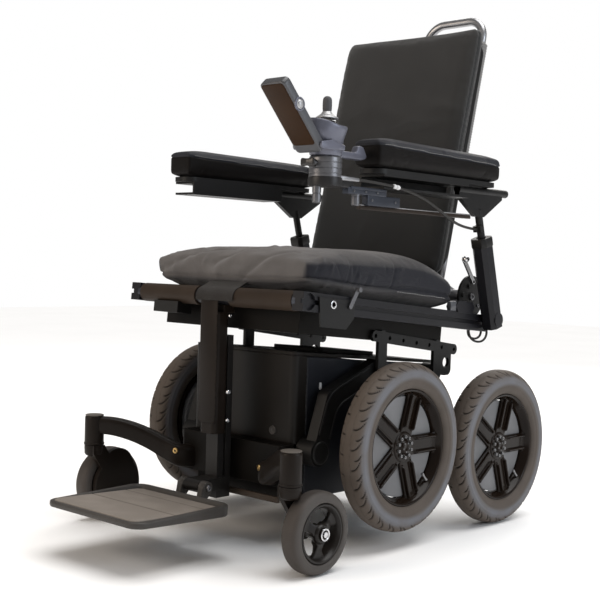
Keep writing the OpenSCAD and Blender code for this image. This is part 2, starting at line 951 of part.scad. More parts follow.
// Seat frame
module side_rails() {
    color("#1b1c20") both_sides() {
        in_seat() difference() {
            block([rail_in_x, rail_start, -rail_h / 2], [rail_out_x, rail_end, rail_h / 2]);
            block([rail_out_x - slot_d, rail_start - over, -slot_h / 2],
                [rail_out_x + over, rail_end + over, slot_h / 2]);
            x_rod(rail_in_x - over, rail_out_x + over, 0, 0, tube_r);
            x_rod(rail_in_x - over, rail_in_x + rail_w / 2, rear_tube_u, 0, rear_tube_r);
        }
        in_seat() translate([0, grip_u, rail_h / 2])
            slab(rail_out_x - grip_in, rail_out_x + grip_out) polygon([
                [0, grip_h / 2], [grip_cut, -over], [grip_run - grip_cut, -over],
                [grip_run, grip_h / 2], [grip_run - grip_cut, grip_h], [grip_cut, grip_h]
            ]);
        x_rod(rail_out_x - slot_d - over, post_x + post_t / 2 - clear_gap,
            arm_pivot_y, arm_pivot_z, pivot_pin_r);
    }
}

module cross_tubes() {
    reach = rail_in_x + rail_w / 2;
    color("#3d3733") in_seat() {
        x_rod(-rail_out_x + tube_over, rail_out_x - tube_over, 0, 0, tube_r);
        x_rod(-reach, reach, rear_tube_u, 0, rear_tube_r);
    }
}

module tube_sleeves() {
    color("#4a423c") in_seat() both_sides() difference() {
        x_rod(sleeve_in_x, rail_in_x - sleeve_end_gap, 0, 0, tube_r + sleeve_t);
        x_rod(0, rail_in_x, 0, 0, tube_r);
    }
}

module seat_pan() {
    top = rail_h / 2;
    color("#161616") in_seat() difference() {
        union() {
            block([-rail_in_x, pan_start, top - pan_t], [rail_in_x, pan_end, top]);
            block([-pan_half, pan_start, -pan_low], [pan_half, pan_end, top]);
        }
        block([-pan_half + pan_wall, pan_start + pan_wall, -pan_low + pan_wall],
            [pan_half - pan_wall, pan_end - pan_wall, top - pan_t]);
    }
}

module seat_cushion() {
    crown = cushion_front_h * crown_share;
    color("#35343a") in_seat() translate([0, cushion_u, rail_h / 2 + clear_gap])
        pillow(cushion_len, cushion_w, cushion_front_h, cushion_rear_h, crown, cushion_sag, end_share);
}

module seat_bars() {
    front = [lift_y + link_y, lift_z + link_z];
    rear = [rear_lift_y + link_y, rear_lift_z + link_z];
    eye = rear + [(leg_w + eye_w) / 2 - over, eye_up];
    a = [bar_front_y, bar_front_z];
    b = [bar_rear_y, bar_rear_z];
    out_x = pan_half + bar_t;
    color("#232325") both_sides() {
        difference() {
            slab(pan_half, out_x) {
                link_shape(a, b, bar_h);
                for (p = [front, rear]) {
                    share = (p[0] - a[0]) / (b[0] - a[0]);
                    link_shape(p, a + (b - a) * share, leg_w);
                }
                translate(eye) round_rect(eye_w, eye_h, eye_round);
            }
            for (i = [0 : bar_holes - 1]) {
                p = a + (b - a) * (i / (bar_holes - 1));
                x_rod(pan_half - over, out_x + over, p[0], p[1], bar_hole_r);
            }
            x_rod(pan_half - over, out_x + over, eye[0], eye[1], eye_r);
        }
        for (p = [front, rear]) x_rod(lift_in_x, out_x - over, p[0], p[1], hang_pin_r);
    }
}

module rail_bracket() {
    color("#1e1c1a") in_seat() difference() {
        slab(rail_out_x, rail_out_x + plate_t) polygon([
            [plate_u, plate_h - plate_drop], [plate_u + plate_len, plate_h - plate_drop],
            [plate_u + plate_len, -plate_drop / 2], [plate_u + plate_len * plate_shares[2], -plate_drop],
            [plate_u + plate_len * plate_shares[0], -plate_drop]
        ]);
        x_rod(rail_out_x - over, rail_out_x + plate_t + over,
            plate_u + plate_len * plate_shares[1], 0, bar_hole_r);
    }
}

module release_lever() {
    x0 = rail_out_x + plate_t + clear_gap;
    hub = [plate_u + plate_len * plate_shares[3], 0];
    tip = hub + lever_len * [sin(lever_turn), cos(lever_turn)];
    color("#5b5d60") in_seat() {
        slab(x0, x0 + lever_t) link_shape(hub, tip, lever_w);
        slab(x0, x0 + lever_w) translate(tip) circle(lever_r);
    }
}

module recline_plates() {
    color("#19191a") {
        both_sides() {
            slab(recline_in_x, rail_in_x) {
                translate([back_pivot_y, back_pivot_z]) circle(quadrant_r);
                translate([recline_front_y, recline_low_z])
                    square([recline_run, back_pivot_z - recline_low_z]);
            }
            for (p = quadrant_r * quadrant_bolt_shares)
                x_rod(rail_in_x - over, rail_in_x + quadrant_bolt_t,
                    back_pivot_y + p[0], back_pivot_z + p[1], quadrant_bolt_r);
            x_rod(hoop_x - hoop_plate, recline_in_x + over, back_pivot_y, back_pivot_z, pivot_pin_r);
        }
        x_rod(rail_in_x - over, rail_in_x + clear_gap + tilt_t, tilt_hub[0], tilt_hub[1], tilt_pin_r);
    }
}

module recline_lever() {
    x0 = rail_in_x + clear_gap;
    color("#9a9b9c") {
        difference() {
            slab(x0, x0 + tilt_t) link_shape(tilt_hub, tilt_tip, tilt_w);
            x_rod(x0 - over, x0 + tilt_t + over, tilt_hub[0], tilt_hub[1], tilt_pin_r + run_gap);
        }
        translate([x0 + tilt_ball_r, tilt_tip[0], tilt_tip[1]]) sphere(tilt_ball_r);
    }
}

module junction_box() {
    color("#131313") in_seat() difference() {
        translate([box_x - box_w / 2, -box_d / 2, -tube_r - box_h]) cube([box_w, box_d, box_h]);
        x_rod(-rail_out_x, 0, 0, 0, tube_r + sleeve_t + clear_gap);
    }
}

module seat_harness() {
    color("#101010") in_seat() {
        cord(outer_loop, harness_r);
        cord(inner_loop, harness_r);
    }
}

// Footrest
module foot_cover() {
    color("#241d19") difference() {
        union() {
            translate([0, cover_front_y + cover_d / 2, cover_low_z])
                linear_extrude(post_top_z - cover_low_z) round_rect(post_w, cover_d, clamp_round);
            block([-post_w / 2, tube_y - over, post_top_z - over],
                [post_w / 2, tube_y + clamp_back, tube_z + clamp_rise]);
            intersection() {
                x_rod(-clamp_w / 2, clamp_w / 2, tube_y, tube_z, tube_r + saddle_t);
                block([-clamp_w, tube_y - tube_d, tube_z], [clamp_w, tube_y + tube_d, tube_z + tube_d]);
            }
        }
        block([-slide_half - clear_gap, cover_front_y + cover_lip, cover_low_z - over],
            [slide_half + clear_gap, cover_front_y + cover_d + over, post_top_z - over]);
        x_rod(-clamp_w, clamp_w, tube_y, tube_z, tube_r);
    }
}

module foot_slide() {
    front = cover_front_y + cover_lip + clear_gap;
    rear = front + slide_d;
    color("#6b6a68") difference() {
        union() {
            block([-slide_half, front, slide_foot_z], [slide_half, rear, slide_top_z]);
            block([-lug_w / 2, hinge_y, hinge_z - hinge_r],
                [lug_w / 2, front + groove_d, hinge_z + hinge_r]);
            x_rod(-lug_w / 2, lug_w / 2, hinge_y, hinge_z, hinge_r);
        }
        for (s = [-1, 1]) on_side(s) block(
            [slide_half - groove_d, (front + rear - groove_w) / 2, hinge_z + hinge_r],
            [slide_half + over, (front + rear + groove_w) / 2, slide_top_z + over]
        );
        x_rod(-lug_w, lug_w, hinge_y, hinge_z, hinge_pin_r + run_gap);
    }
}

module in_foot() {
    translate([0, foot_front_y + foot_len, foot_z]) rotate([-foot_tilt, 0, 0]) children();
}

module footplate() {
    tray = foot_t + foot_rim_h;
    rear = foot_front_y + foot_len;
    inner = lug_w / 2 + clear_gap;
    knee = [hinge_y - hinge_r, foot_z - foot_t / 2];
    color("#2c2a28") {
        in_foot() translate([0, -foot_len / 2, 0]) difference() {
            translate([0, 0, -foot_t]) linear_extrude(tray) round_rect(foot_w, foot_len, foot_round);
            linear_extrude(tray) translate([0, -foot_rim_t / 2])
                round_rect(foot_w - 2 * foot_rim_t, foot_len - foot_rim_t + over, foot_round - foot_rim_t);
        }
        both_sides() slab(inner, inner + knuckle_w) {
            link_shape([rear - foot_round, foot_z - foot_t / 2], knee, foot_t);
            link_shape(knee, [hinge_y, hinge_z], 2 * hinge_r);
        }
        x_rod(-inner - knuckle_w, inner + knuckle_w, hinge_y, hinge_z, hinge_pin_r);
    }
}

module foot_mat() {
    inset = foot_rim_t + mat_inset;
    color("#6d655e") in_foot() translate([0, -foot_len / 2 - mat_inset, 0]) linear_extrude(mat_t)
        round_rect(foot_w - 2 * inset, foot_len - 2 * inset, foot_round - inset);
}

// Backrest
module back_cushion() {
    color("#2d2c2e") in_back() translate([0, back_t, back_rise]) rotate([90, 0, 0])
        pillow(back_len, back_w, back_t, back_t, 0, 0, end_share);
}

module back_shell() {
    color("#1a1a1a") in_back() translate([0, back_t + clear_gap, back_len / 2 + back_rise])
        rotate([-90, 0, 0]) linear_extrude(shell_t)
        round_rect(back_w - 2 * shell_inset, back_len - 2 * shell_inset, shell_round);
}

module hoop_clamp(x, w) {
    block([x - hoop_clamp_w / 2, shell_back, w], [x + hoop_clamp_w / 2, hoop_n, w + hoop_clamp_h]);
}

module hoop_corner(x, w, turn) {
    translate([x, hoop_n, w]) rotate([90, 0, 0]) rotate(turn)
        rotate_extrude(angle = 90) translate([hoop_bend, 0]) circle(hoop_r);
}

module back_hoop() {
    arch = hoop_top - hoop_bend;
    color("#8f9092") for (s = [-1, 1]) on_side(s) difference() {
        union() {
            slab(hoop_x - hoop_plate / 2, hoop_x + hoop_plate / 2)
                link_shape([back_pivot_y, back_pivot_z], hoop_root, eye_block);
            x_rod(hoop_x, recline_in_x - clear_gap, back_pivot_y, back_pivot_z, eye_block / 2 - over);
            in_back() {
                z_rod(hoop_x, hoop_n, hoop_low, s > 0 ? arch : hoop_short, hoop_r);
                for (w = back_len * hoop_clamp_shares) hoop_clamp(hoop_x, w);
                if (s > 0) {
                    hoop_corner(hoop_x - hoop_bend, arch, 0);
                    x_rod(hoop_inner_x + hoop_bend, hoop_x - hoop_bend, hoop_n, hoop_top, hoop_r);
                    hoop_corner(hoop_inner_x + hoop_bend, arch, 90);
                    z_rod(hoop_inner_x, hoop_n, hoop_tail, arch, hoop_r);
                    hoop_clamp(hoop_inner_x, hoop_tail);
                }
            }
        }
        x_rod(0, rail_out_x, back_pivot_y, back_pivot_z, pivot_pin_r + run_gap);
    }
}

// Armrests
module post_shape() {
    w = post_t / 2;
    d = post_d / 2;
    polygon([
        [-w, -d + post_cut], [-w + post_cut, -d], [w - post_cut, -d], [w, -d + post_cut],
        [w, d - post_cut], [w - post_cut, d], [-w + post_cut, d], [-w, d - post_cut]
    ]);
}

module arm_receiver(s) {
    color("#17171a") on_side(s) {
        difference() {
            in_arm() translate([post_x, 0, -post_low]) linear_extrude(post_low + post_len) post_shape();
            in_arm() z_rod(post_x, 0, post_len - socket_len, post_len + over, stalk_d / 2 + run_gap);
            x_rod(0, post_x + post_t, arm_pivot_y, arm_pivot_z, pivot_pin_r + run_gap);
        }
        x_rod(post_x + post_t / 2, post_x + post_t / 2 + disc_t, arm_pivot_y, arm_pivot_z, disc_r);
    }
}

module arm_frame(s) {
    base_low = pad_top_z - pad_h - pad_base_t;
    base_len = pad_len - 2 * pad_base_inset;
    base_mid = pad_front_y + pad_len / 2;
    base_rear = base_mid + base_len / 2 - pad_base_round;
    half = pad_w / 2 - pad_base_inset;
    channel_front = pad_front_y + channel_front_gap;
    bar_z = base_low - bar_r;
    stalk_top = (tri_apex_z - arm_pivot_z) / cos(arm_lean) + stalk_d;
    color("#222224") on_side(s) {
        translate([pad_x, base_mid, base_low]) linear_extrude(pad_base_t)
            round_rect(2 * half, base_len, pad_base_round);
        difference() {
            block([pad_x - half, channel_front, base_low - channel_h],
                [pad_x + half, channel_rear_y, base_low]);
            block([pad_x - half + channel_wall, channel_front - over, base_low - channel_h + channel_wall],
                [pad_x + half + over, channel_rear_y + over, base_low - channel_wall]);
        }
        slab(post_x - tri_t / 2, post_x + tri_t / 2) polygon([
            [tri_front_y, bar_z], [tri_front_y, bar_z - tri_edge],
            [tri_apex_y - tri_apex_w / 2, tri_apex_z], [tri_apex_y + tri_apex_w / 2, tri_apex_z],
            [tri_rear_y, bar_z - tri_edge], [tri_rear_y, bar_z]
        ]);
        block([post_x - tri_t / 2, tri_front_y, bar_z], [post_x + tri_t / 2, base_rear, base_low + over]);
        y_rod(post_x, tri_front_y, bar_end_y, bar_z, bar_r);
        in_arm() z_rod(post_x, 0, post_len - socket_len + stalk_room, stalk_top, stalk_d / 2);
        if (s > 0) in_arm() translate([post_x - clip_w / 2, -clip_reach, clip_up - clip_h / 2])
            cube([clip_w, clip_reach, clip_h]);
    }
}

module arm_pad(s) {
    color("#2f3034") on_side(s) translate([pad_x, pad_front_y, pad_top_z - pad_h + clear_gap])
        pillow(pad_len, pad_w, pad_h, pad_h, 0, 0, pad_end_share);
}

// Joystick
module stick_mount() {
    low = drum_low_z - mount_t;
    channel_low = pad_top_z - pad_h - pad_base_t - channel_h;
    color("#7f858c") difference() {
        translate([stick_x, stick_y, 0]) {
            z_rod(0, 0, low, drum_low_z, mount_r);
            z_rod(0, 0, drum_low_z - over, drum_low_z + drum_h, drum_r);
            block([-tail_in, 0, low], [tail_out, tail_len, drum_low_z - over]);
            block([tab_in, tab_start, drum_low_z - tab_drop],
                [tab_in + tab_t, tab_end, drum_low_z - tab_drop + tab_t]);
            z_rod(0, -hang_front, low - hang_len, low + over, hang_r);
            z_rod(hang_out, hang_rear, low - hang_len, low, hang_r);
            block([slide_in, slide_start, slide_low_z], [tail_out, slide_end, channel_low]);
            block([slide_in, step_start, step_low_z], [tail_out, step_end, slide_low_z + over]);
            block([strip_in, strip_start, strip_low_z], [strip_in + strip_w, strip_end, step_low_z + over]);
        }
        z_rod(stick_x, stick_y, drum_low_z + drum_h - spigot_len - seam, drum_low_z + drum_h + over,
            spigot_r + run_gap);
        y_rod(stick_x, stick_y - drum_r - over, stick_y - drum_r + knob_depth,
            drum_low_z + drum_h - knob_drop, knob_r + clear_gap);
    }
}

module clamp_knob() {
    z = drum_low_z + drum_h - knob_drop;
    back = stick_y - drum_r + knob_depth - seam;
    color("#1a1a1a") {
        y_rod(stick_x, back - knob_len, back, z, knob_r);
        translate([stick_x, back - knob_len, z]) rotate([90, 0, 0]) linear_extrude(wing_t)
            round_rect(wing_w, wing_h, wing_round);
    }
}

module joystick_pod() {
    low = drum_low_z + drum_h + clear_gap;
    lip = low + pod_neck_h;
    ball_z = lip + lip_t - ball_drop;
    color("#8d939c") difference() {
        union() {
            z_rod(stick_x, stick_y, low - spigot_len, low, spigot_r);
            z_rod(stick_x, stick_y, low, lip, pod_r);
            translate([0, 0, lip]) linear_extrude(lip_t) translate([stick_x, stick_y]) circle(lip_r);
            block([stick_x - reach_w / 2, stick_y, low],
                [stick_x + reach_w / 2, stick_y + reach_len, low + reach_t]);
            slab(stick_x - reach_w / 2, stick_x + reach_w / 2) polygon([
                [stick_y + reach_len - wedge_len, low], [stick_y + reach_len, low],
                [stick_y + reach_len, low + reach_t], [stick_y + reach_len - wedge_len / 2, low + wedge_h],
                [stick_y + reach_len - wedge_len, low + wedge_h]
            ]);
            for (s = [-1, 1]) translate([s * (display_w / 2 + ear_t / 2 + clear_gap), 0, 0])
                block([stick_x - ear_t / 2, display_y - ear_h / 2, display_z - ear_h / 4],
                    [stick_x + ear_t / 2, display_y + ear_reach, display_z + ear_h / 2]);
            block([stick_x - display_w / 2 - ear_t, stick_y, display_z - ear_h / 4],
                [stick_x + display_w / 2 + ear_t, display_y + ear_reach, display_z + ear_h / 2]);
        }
        z_rod(stick_x, stick_y, ball_z - ball_r - clear_gap, lip + lip_t + over, ball_r + clear_gap);
        x_rod(stick_x - display_w, stick_x + display_w, display_y, display_z, display_pin_r + run_gap);
    }
}

stick_z = drum_low_z + drum_h + clear_gap + pod_neck_h + lip_t - ball_drop;

module stick_boot() {
    color("#111111") translate([stick_x, stick_y, stick_z]) {
        sphere(ball_r);
        cylinder(h = boot_rise + neck_r, r = neck_r);
        intersection() {
            sphere(boot_r);
            translate([0, 0, boot_rise]) cylinder(h = boot_r, r = boot_r);
        }
    }
}

module joystick_stick() {
    inner = boot_r + clear_gap;
    color("#77797c") translate([stick_x, stick_y, stick_z]) {
        difference() {
            union() {
                intersection() {
                    sphere(inner + cap_t);
                    translate([0, 0, cap_rise]) cylinder(h = inner, r = skirt_r);
                }
                translate([0, 0, skirt_rise - skirt_t]) cylinder(h = skirt_t, r = skirt_r);
                cylinder(h = grip_rise, r = stick_r);
            }
            sphere(inner);
        }
        translate([0, 0, grip_rise - seam]) cylinder(h = grip_len - grip_r + seam, r = grip_r);
        translate([0, 0, grip_rise + grip_len - grip_r]) sphere(grip_r);
    }
}

module display_flap() {
    color("#3a2a1e") in_display() difference() {
        union() {
            translate([-display_w / 2, 0, 0]) slab(0, display_w)
                translate([0, display_len / 2 - display_foot])
                round_rect(display_t, display_len, display_round);
            x_rod(-display_w / 2 - ear_t, display_w / 2 + ear_t, 0, 0, display_pin_r);
        }
        x_rod(display_w / 2 - button_t, display_w, 0, display_len * button_share, button_r + clear_gap);
    }
}

module display_button() {
    start = display_w / 2 - button_t + button_travel + clear_gap;
    up = display_len * button_share;
    color("#c9cbce") in_display() {
        x_rod(start, display_w / 2 + button_up, 0, up, button_r);
        x_rod(display_w / 2, display_w / 2 + 2 * button_up, 0, up, button_r * dome_share);
    }
}

module joystick_cable() {
    color("#26231f") cord(cable_route, cable_r);
}

module front_left_tyre() { drive_tyre(1, -1); }
module front_left_rim() { drive_rim(1, -1); }
module front_right_tyre() { drive_tyre(-1, -1); }
module front_right_rim() { drive_rim(-1, -1); }
module rear_left_tyre() { drive_tyre(1, 1); }
module rear_left_rim() { drive_rim(1, 1); }
module rear_right_tyre() { drive_tyre(-1, 1); }
module rear_right_rim() { drive_rim(-1, 1); }

base_tray();
front_cover();
side_covers();
top_cover();
battery_packs();
cluster_gearmotor();
caster_arms();
cluster_shaft();
cluster_case(1);  // cluster_case_left
cluster_case(-1);  // cluster_case_right
hub_motors();
front_left_tyre();
front_left_rim();
front_right_tyre();
front_right_rim();
rear_left_tyre();
rear_left_rim();
rear_right_tyre();
rear_right_rim();
caster_fork(1);  // caster_fork_left
caster_fork(-1);  // caster_fork_right
caster_hub(1);  // caster_hub_left
caster_hub(-1);  // caster_hub_right
caster_tyre(1);  // caster_tyre_left
caster_tyre(-1);  // caster_tyre_right
front_lift_arms();
rear_lift_arms();
side_rails();
cross_tubes();
tube_sleeves();
seat_pan();
seat_cushion();
seat_bars();
rail_bracket();
recline_plates();
recline_lever();
junction_box();
seat_harness();
release_lever();
foot_cover();
foot_slide();
footplate();
foot_mat();
back_shell();
back_cushion();
back_hoop();
arm_receiver(1);  // arm_receiver_left
arm_receiver(-1);  // arm_receiver_right
arm_frame(1);  // arm_frame_left
arm_frame(-1);  // arm_frame_right
arm_pad(1);  // arm_pad_left
arm_pad(-1);  // arm_pad_right
stick_mount();
clamp_knob();
joystick_pod();
stick_boot();
joystick_stick();
display_flap();
display_button();
joystick_cable();
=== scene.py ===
"""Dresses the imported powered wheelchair: camera, cords, studio, finishes and the pieces that the solids only
block out."""

import bpy
import numpy as np
from mathutils import Matrix


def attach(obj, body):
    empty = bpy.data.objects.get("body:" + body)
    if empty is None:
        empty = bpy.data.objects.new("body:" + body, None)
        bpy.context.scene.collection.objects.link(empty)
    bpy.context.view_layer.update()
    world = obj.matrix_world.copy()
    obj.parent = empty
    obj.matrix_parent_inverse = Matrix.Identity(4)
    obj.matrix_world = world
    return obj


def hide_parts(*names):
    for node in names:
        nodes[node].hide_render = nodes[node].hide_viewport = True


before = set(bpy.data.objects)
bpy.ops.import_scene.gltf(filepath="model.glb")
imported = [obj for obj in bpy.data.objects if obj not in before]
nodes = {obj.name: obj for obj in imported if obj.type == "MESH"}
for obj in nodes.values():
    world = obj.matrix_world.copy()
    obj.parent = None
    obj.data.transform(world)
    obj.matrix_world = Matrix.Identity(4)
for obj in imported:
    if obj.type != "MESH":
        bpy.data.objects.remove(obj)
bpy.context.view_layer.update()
scene = bpy.context.scene
MM = 0.001
TURN = 2 * np.pi
SIDES = (("left", 1), ("right", -1))
# Origin in Y and Z and lean in degrees of the seat's and the back's frames
SEAT_PLACE = ((-237, 508), -5)
BACK_PLACE = ((237, 540), -13.6)
# Middle of an armrest across the chair, a left caster's stem and axle, and the axis of the display's button
ARM_X = 278
STEM_X, STEM_Y = 295, -318
CASTER_AXLE = (312, -264, 79)
BUTTON_Y, BUTTON_Z = -338.65, 867.33


# Camera

def unit(v):
    """Vectors divided by their own length, along the last axis."""
    v = np.asarray(v, float)
    return v / np.linalg.norm(v, axis=-1, keepdims=True)


def photo_camera():
    """Camera at the fitted place: forward from yaw and pitch, sideways level, then both turned by the
    roll."""
    yaw, pitch, roll = np.radians([42.5, -1.9, 1.7])
    forward = np.array([-np.sin(yaw) * np.cos(pitch), np.cos(yaw) * np.cos(pitch), np.sin(pitch)])
    level = np.array([np.cos(yaw), np.sin(yaw), 0.0])
    above = np.cross(level, forward)
    right = np.cos(roll) * level + np.sin(roll) * above
    up = np.cos(roll) * above - np.sin(roll) * level
    data = bpy.data.cameras.new("photo_camera")
    data.sensor_width = 36.0
    data.lens = 67.48
    camera = bpy.data.objects.new("photo_camera", data)
    scene.collection.objects.link(camera)
    turn = np.eye(4)
    turn[:3, 0], turn[:3, 1], turn[:3, 2] = right, up, -forward
    turn[:3, 3] = (1.6913, -1.8306, 0.5820)
    camera.matrix_world = Matrix(turn.tolist())
    scene.camera = camera


photo_camera()


# Places: each turns local millimetres into the row frame

def tilted(points, origin, angle):
    """Points turned about X by an angle in degrees and moved to an origin given in Y and Z."""
    p = np.asarray(points, float)
    a = np.radians(angle)
    y = p[..., 1] * np.cos(a) - p[..., 2] * np.sin(a) + origin[0]
    z = p[..., 1] * np.sin(a) + p[..., 2] * np.cos(a) + origin[1]
    return np.stack([p[..., 0], y, z], -1)


def in_seat(p):
    """Seat rails' frame: X across, Y along the rail, Z square to it."""
    return tilted(p, *SEAT_PLACE)


def in_back(p):
    """Backrest's frame: X across, Y behind its front face, Z up its slope."""
    return tilted(p, *BACK_PLACE)


def in_arm(p):
    """Arm post's frame: Z up along the post."""
    return tilted(p, (362, 465), 16)


def in_display(p):
    """Display's frame: Z up along the display, from its hinge."""
    return tilted(np.asarray(p, float) + [ARM_X, 0, 0], (-274, 798), 43)


def in_foot(p):
    """Footplate's frame: Y from its rear edge, Z from its top."""
    return tilted(p, (-310, 98), -2)


def side_on(p, mirror=1):
    """A shape drawn flat in its first two numbers and thick along the third, set in Y and Z and thick along
    X."""
    p = np.asarray(p, float)
    return np.stack([mirror * p[..., 2], p[..., 0], p[..., 1]], -1)


def front_on(p):
    """A shape drawn flat in X and Z and thick along Y."""
    p = np.asarray(p, float)
    return np.stack([p[..., 0], p[..., 2], p[..., 1]], -1)


# Surfaces

def grid_faces(rows, cols, loop_rows=False, loop_cols=True):
    """Four-sided faces of a grid of points, closed round its columns or its rows where asked."""
    r = np.arange(rows if loop_rows else rows - 1)[:, None]
    c = np.arange(cols if loop_cols else cols - 1)[None, :]
    r2, c2 = (r + 1) % rows, (c + 1) % cols
    quads = np.stack([r * cols + c, r * cols + c2, r2 * cols + c2, r2 * cols + c], -1)
    return quads.reshape(-1, 4).tolist()


def slab_faces(rows, cols):
    """Faces of two like grids of points, the second under the first, closed round their rim."""
    count = rows * cols
    upper = grid_faces(rows, cols, loop_cols=False)
    lower = [[i + count for i in f[::-1]] for f in upper]
    index = np.arange(count).reshape(rows, cols)
    rim = np.concatenate([index[0, :-1], index[:-1, -1], index[-1, :0:-1], index[:0:-1, 0]])
    after = np.roll(rim, -1)
    return upper + lower + np.stack([after, rim, rim + count, after + count], -1).tolist()


def capped(rings):
    """A skin over rings of points with a flat face at each end."""
    rings = np.asarray(rings, float)
    rows, cols = rings.shape[:2]
    faces = grid_faces(rows, cols)
    faces += [list(range(cols))[::-1], list(range((rows - 1) * cols, rows * cols))]
    return rings.reshape(-1, 3), faces


def joined(*shapes):
    """Several shapes as one list of points and one list of faces."""
    points, faces, base = [], [], 0
    for p, f in shapes:
        p = np.asarray(p, float).reshape(-1, 3)
        points.append(p)
        faces += [[i + base for i in face] for face in f]
        base += len(p)
    return np.concatenate(points), faces


def placed(shape, place):
    """A shape with its points sent through a placing function."""
    return place(np.asarray(shape[0], float)), shape[1]


def shifted(shape, x=0, y=0, z=0):
    """A shape moved by a distance along each axis."""
    return np.asarray(shape[0], float) + [x, y, z], shape[1]


def mirrored(shape):
    """A shape's twin on the other side of the middle plane."""
    return np.asarray(shape[0], float) * [-1, 1, 1], shape[1]


def set_at(shape, way, spot):
    """A left-hand shape, or its twin for the other side, moved to a spot."""
    return shape[0] * [way, 1, 1] + spot, shape[1]


def smooth_path(points, count):
    """A cubic through the points, each span a Hermite curve with slopes from its neighbours, sampled evenly
    by length."""
    p = np.asarray(points, float)
    slope = np.gradient(p, axis=0)
    t = np.linspace(0, len(p) - 1, 60 * len(p))
    i = np.minimum(t.astype(int), len(p) - 2)
    f = (t - i)[:, None]
    curve = (p[i] * (1 + 2 * f) * (1 - f) ** 2 + slope[i] * f * (1 - f) ** 2
             + p[i + 1] * f * f * (3 - 2 * f) + slope[i + 1] * f * f * (f - 1))
    run = np.concatenate([[0], np.cumsum(np.linalg.norm(np.diff(curve, axis=0), axis=1))])
    even = np.linspace(0, run[-1], count)
    return np.stack([np.interp(even, run, curve[:, k]) for k in range(3)], -1)


def tube(path, radius, sides=16, side=(1, 0, 0)):
    """A circle carried along a path, its first spoke kept as near as possible to a given side."""
    path = np.asarray(path, float)
    ahead = unit(np.gradient(path, axis=0))
    across = unit(np.asarray(side, float) - ahead * (ahead @ np.asarray(side, float))[:, None])
    over = np.cross(ahead, across)
    a = np.linspace(0, TURN, sides, endpoint=False)
    r = np.broadcast_to(np.asarray(radius, float), (len(path),))[:, None, None]
    circle = across[:, None] * np.cos(a)[None, :, None] + over[:, None] * np.sin(a)[None, :, None]
    rings = path[:, None] + r * circle
    return capped(rings)


def turned(profile, steps=64, closed=False):
    """A profile of places along X and radii, carried round the X axis; an open profile starts and ends on the
    axis."""
    profile = np.asarray(profile, float)
    a = np.linspace(0, TURN, steps, endpoint=False)
    x = np.broadcast_to(profile[:, 0][:, None], (len(profile), steps))
    rings = np.stack([x, profile[:, 1][:, None] * np.cos(a), profile[:, 1][:, None] * np.sin(a)], -1)
    if closed:
        return rings.reshape(-1, 3), grid_faces(len(profile), steps, loop_rows=True)
    return capped(rings)


def upright(shape):
    """A turned shape stood up, its axis along Z."""
    p = np.asarray(shape[0], float)
    return np.stack([p[..., 1], p[..., 2], p[..., 0]], -1), shape[1]


def lengthwise(shape):
    """A turned shape laid with its axis along Y."""
    p = np.asarray(shape[0], float)
    return np.stack([p[..., 2], p[..., 0], p[..., 1]], -1), shape[1]


def round_outline(corners, radius, steps=6):
    """A polygon whose corners are arcs: each arc starts and ends where a circle of that radius touches both
    sides."""
    c = np.asarray(corners, float)
    r = np.broadcast_to(np.asarray(radius, float), (len(c),))[:, None]
    before, after = unit(np.roll(c, 1, 0) - c), unit(np.roll(c, -1, 0) - c)
    half = np.arccos(np.clip((before * after).sum(1, keepdims=True), -1, 1)) / 2
    start, end = c + before * r / np.tan(half), c + after * r / np.tan(half)
    t = np.linspace(0, 1, steps)[None, :, None]
    weight = np.sin(half)[:, None]
    blend = (1 - t) ** 2 * start[:, None] + 2 * t * (1 - t) * weight * c[:, None] + t * t * end[:, None]
    return (blend / ((1 - t) ** 2 + 2 * t * (1 - t) * weight + t * t)).reshape(-1, 2)


def rect_outline(w, h, radius, x=0, y=0, steps=6):
    """A rectangle with round corners about a middle point."""
    corners = np.array([[-w, -h], [w, -h], [w, h], [-w, h]]) / 2 + [x, y]
    return round_outline(corners, radius, steps)


def outward(outline):
    """Outward directions of a closed outline, each halfway between those of its two sides."""
    o = np.asarray(outline, float)
    ahead = unit(np.roll(o, -1, 0) - o)
    normal = np.stack([ahead[:, 1], -ahead[:, 0]], -1)
    area = (o[:, 0] * np.roll(o[:, 1], -1) - o[:, 1] * np.roll(o[:, 0], -1)).sum()
    return unit(normal + np.roll(normal, 1, 0)) * np.sign(area)


def plate(outline, low, high, edge):
    """A flat outline given thickness, its rims rounded: each ring is drawn in along the outline's normals by
    a quarter circle."""
    o = np.asarray(outline, float)
    o = o[np.linalg.norm(o - np.roll(o, 1, 0), axis=1) > 1e-6]
    normal = outward(o)
    a = np.linspace(0, np.pi / 2, 4)
    inset = np.concatenate([edge * (1 - np.sin(a)), edge * (1 - np.cos(a))])
    level = np.concatenate([low + edge * (1 - np.cos(a)), high - edge * (1 - np.sin(a))])
    flat = o[None] - normal[None] * inset[:, None, None]
    height = np.broadcast_to(level[:, None, None], flat.shape[:2] + (1,))
    return capped(np.concatenate([flat, height], -1))


def brick(low, high, edge):
    """A block between two corners with its upright corners and its rims rounded."""
    low, high = np.asarray(low, float), np.asarray(high, float)
    size, mid = high - low, (high + low) / 2
    return plate(rect_outline(size[0], size[1], edge, mid[0], mid[1]), low[2], high[2], edge)


def cap_profile(radius, height):
    """Half outline of a cap screw from its seat: a wall, a rounded rim and a socket sunk in the top."""
    r, h, s = radius, height, 0.45 * radius
    return [(0, r * 0.9), (0, r), (h * 0.75, r), (h * 0.94, r * 0.93), (h, r * 0.82), (h, s),
            (h * 0.5, s * 0.92), (h * 0.45, s * 0.2)]


def screw(x, y, z, radius, height, way=1):
    """A cap screw standing along X from its seat."""
    p, f = turned(cap_profile(radius, height), 20)
    return p * [way, 1, 1] + [x, y, z], f


def signed_power(v, n):
    """A power that keeps the sign."""
    return np.sign(v) * np.abs(v) ** n


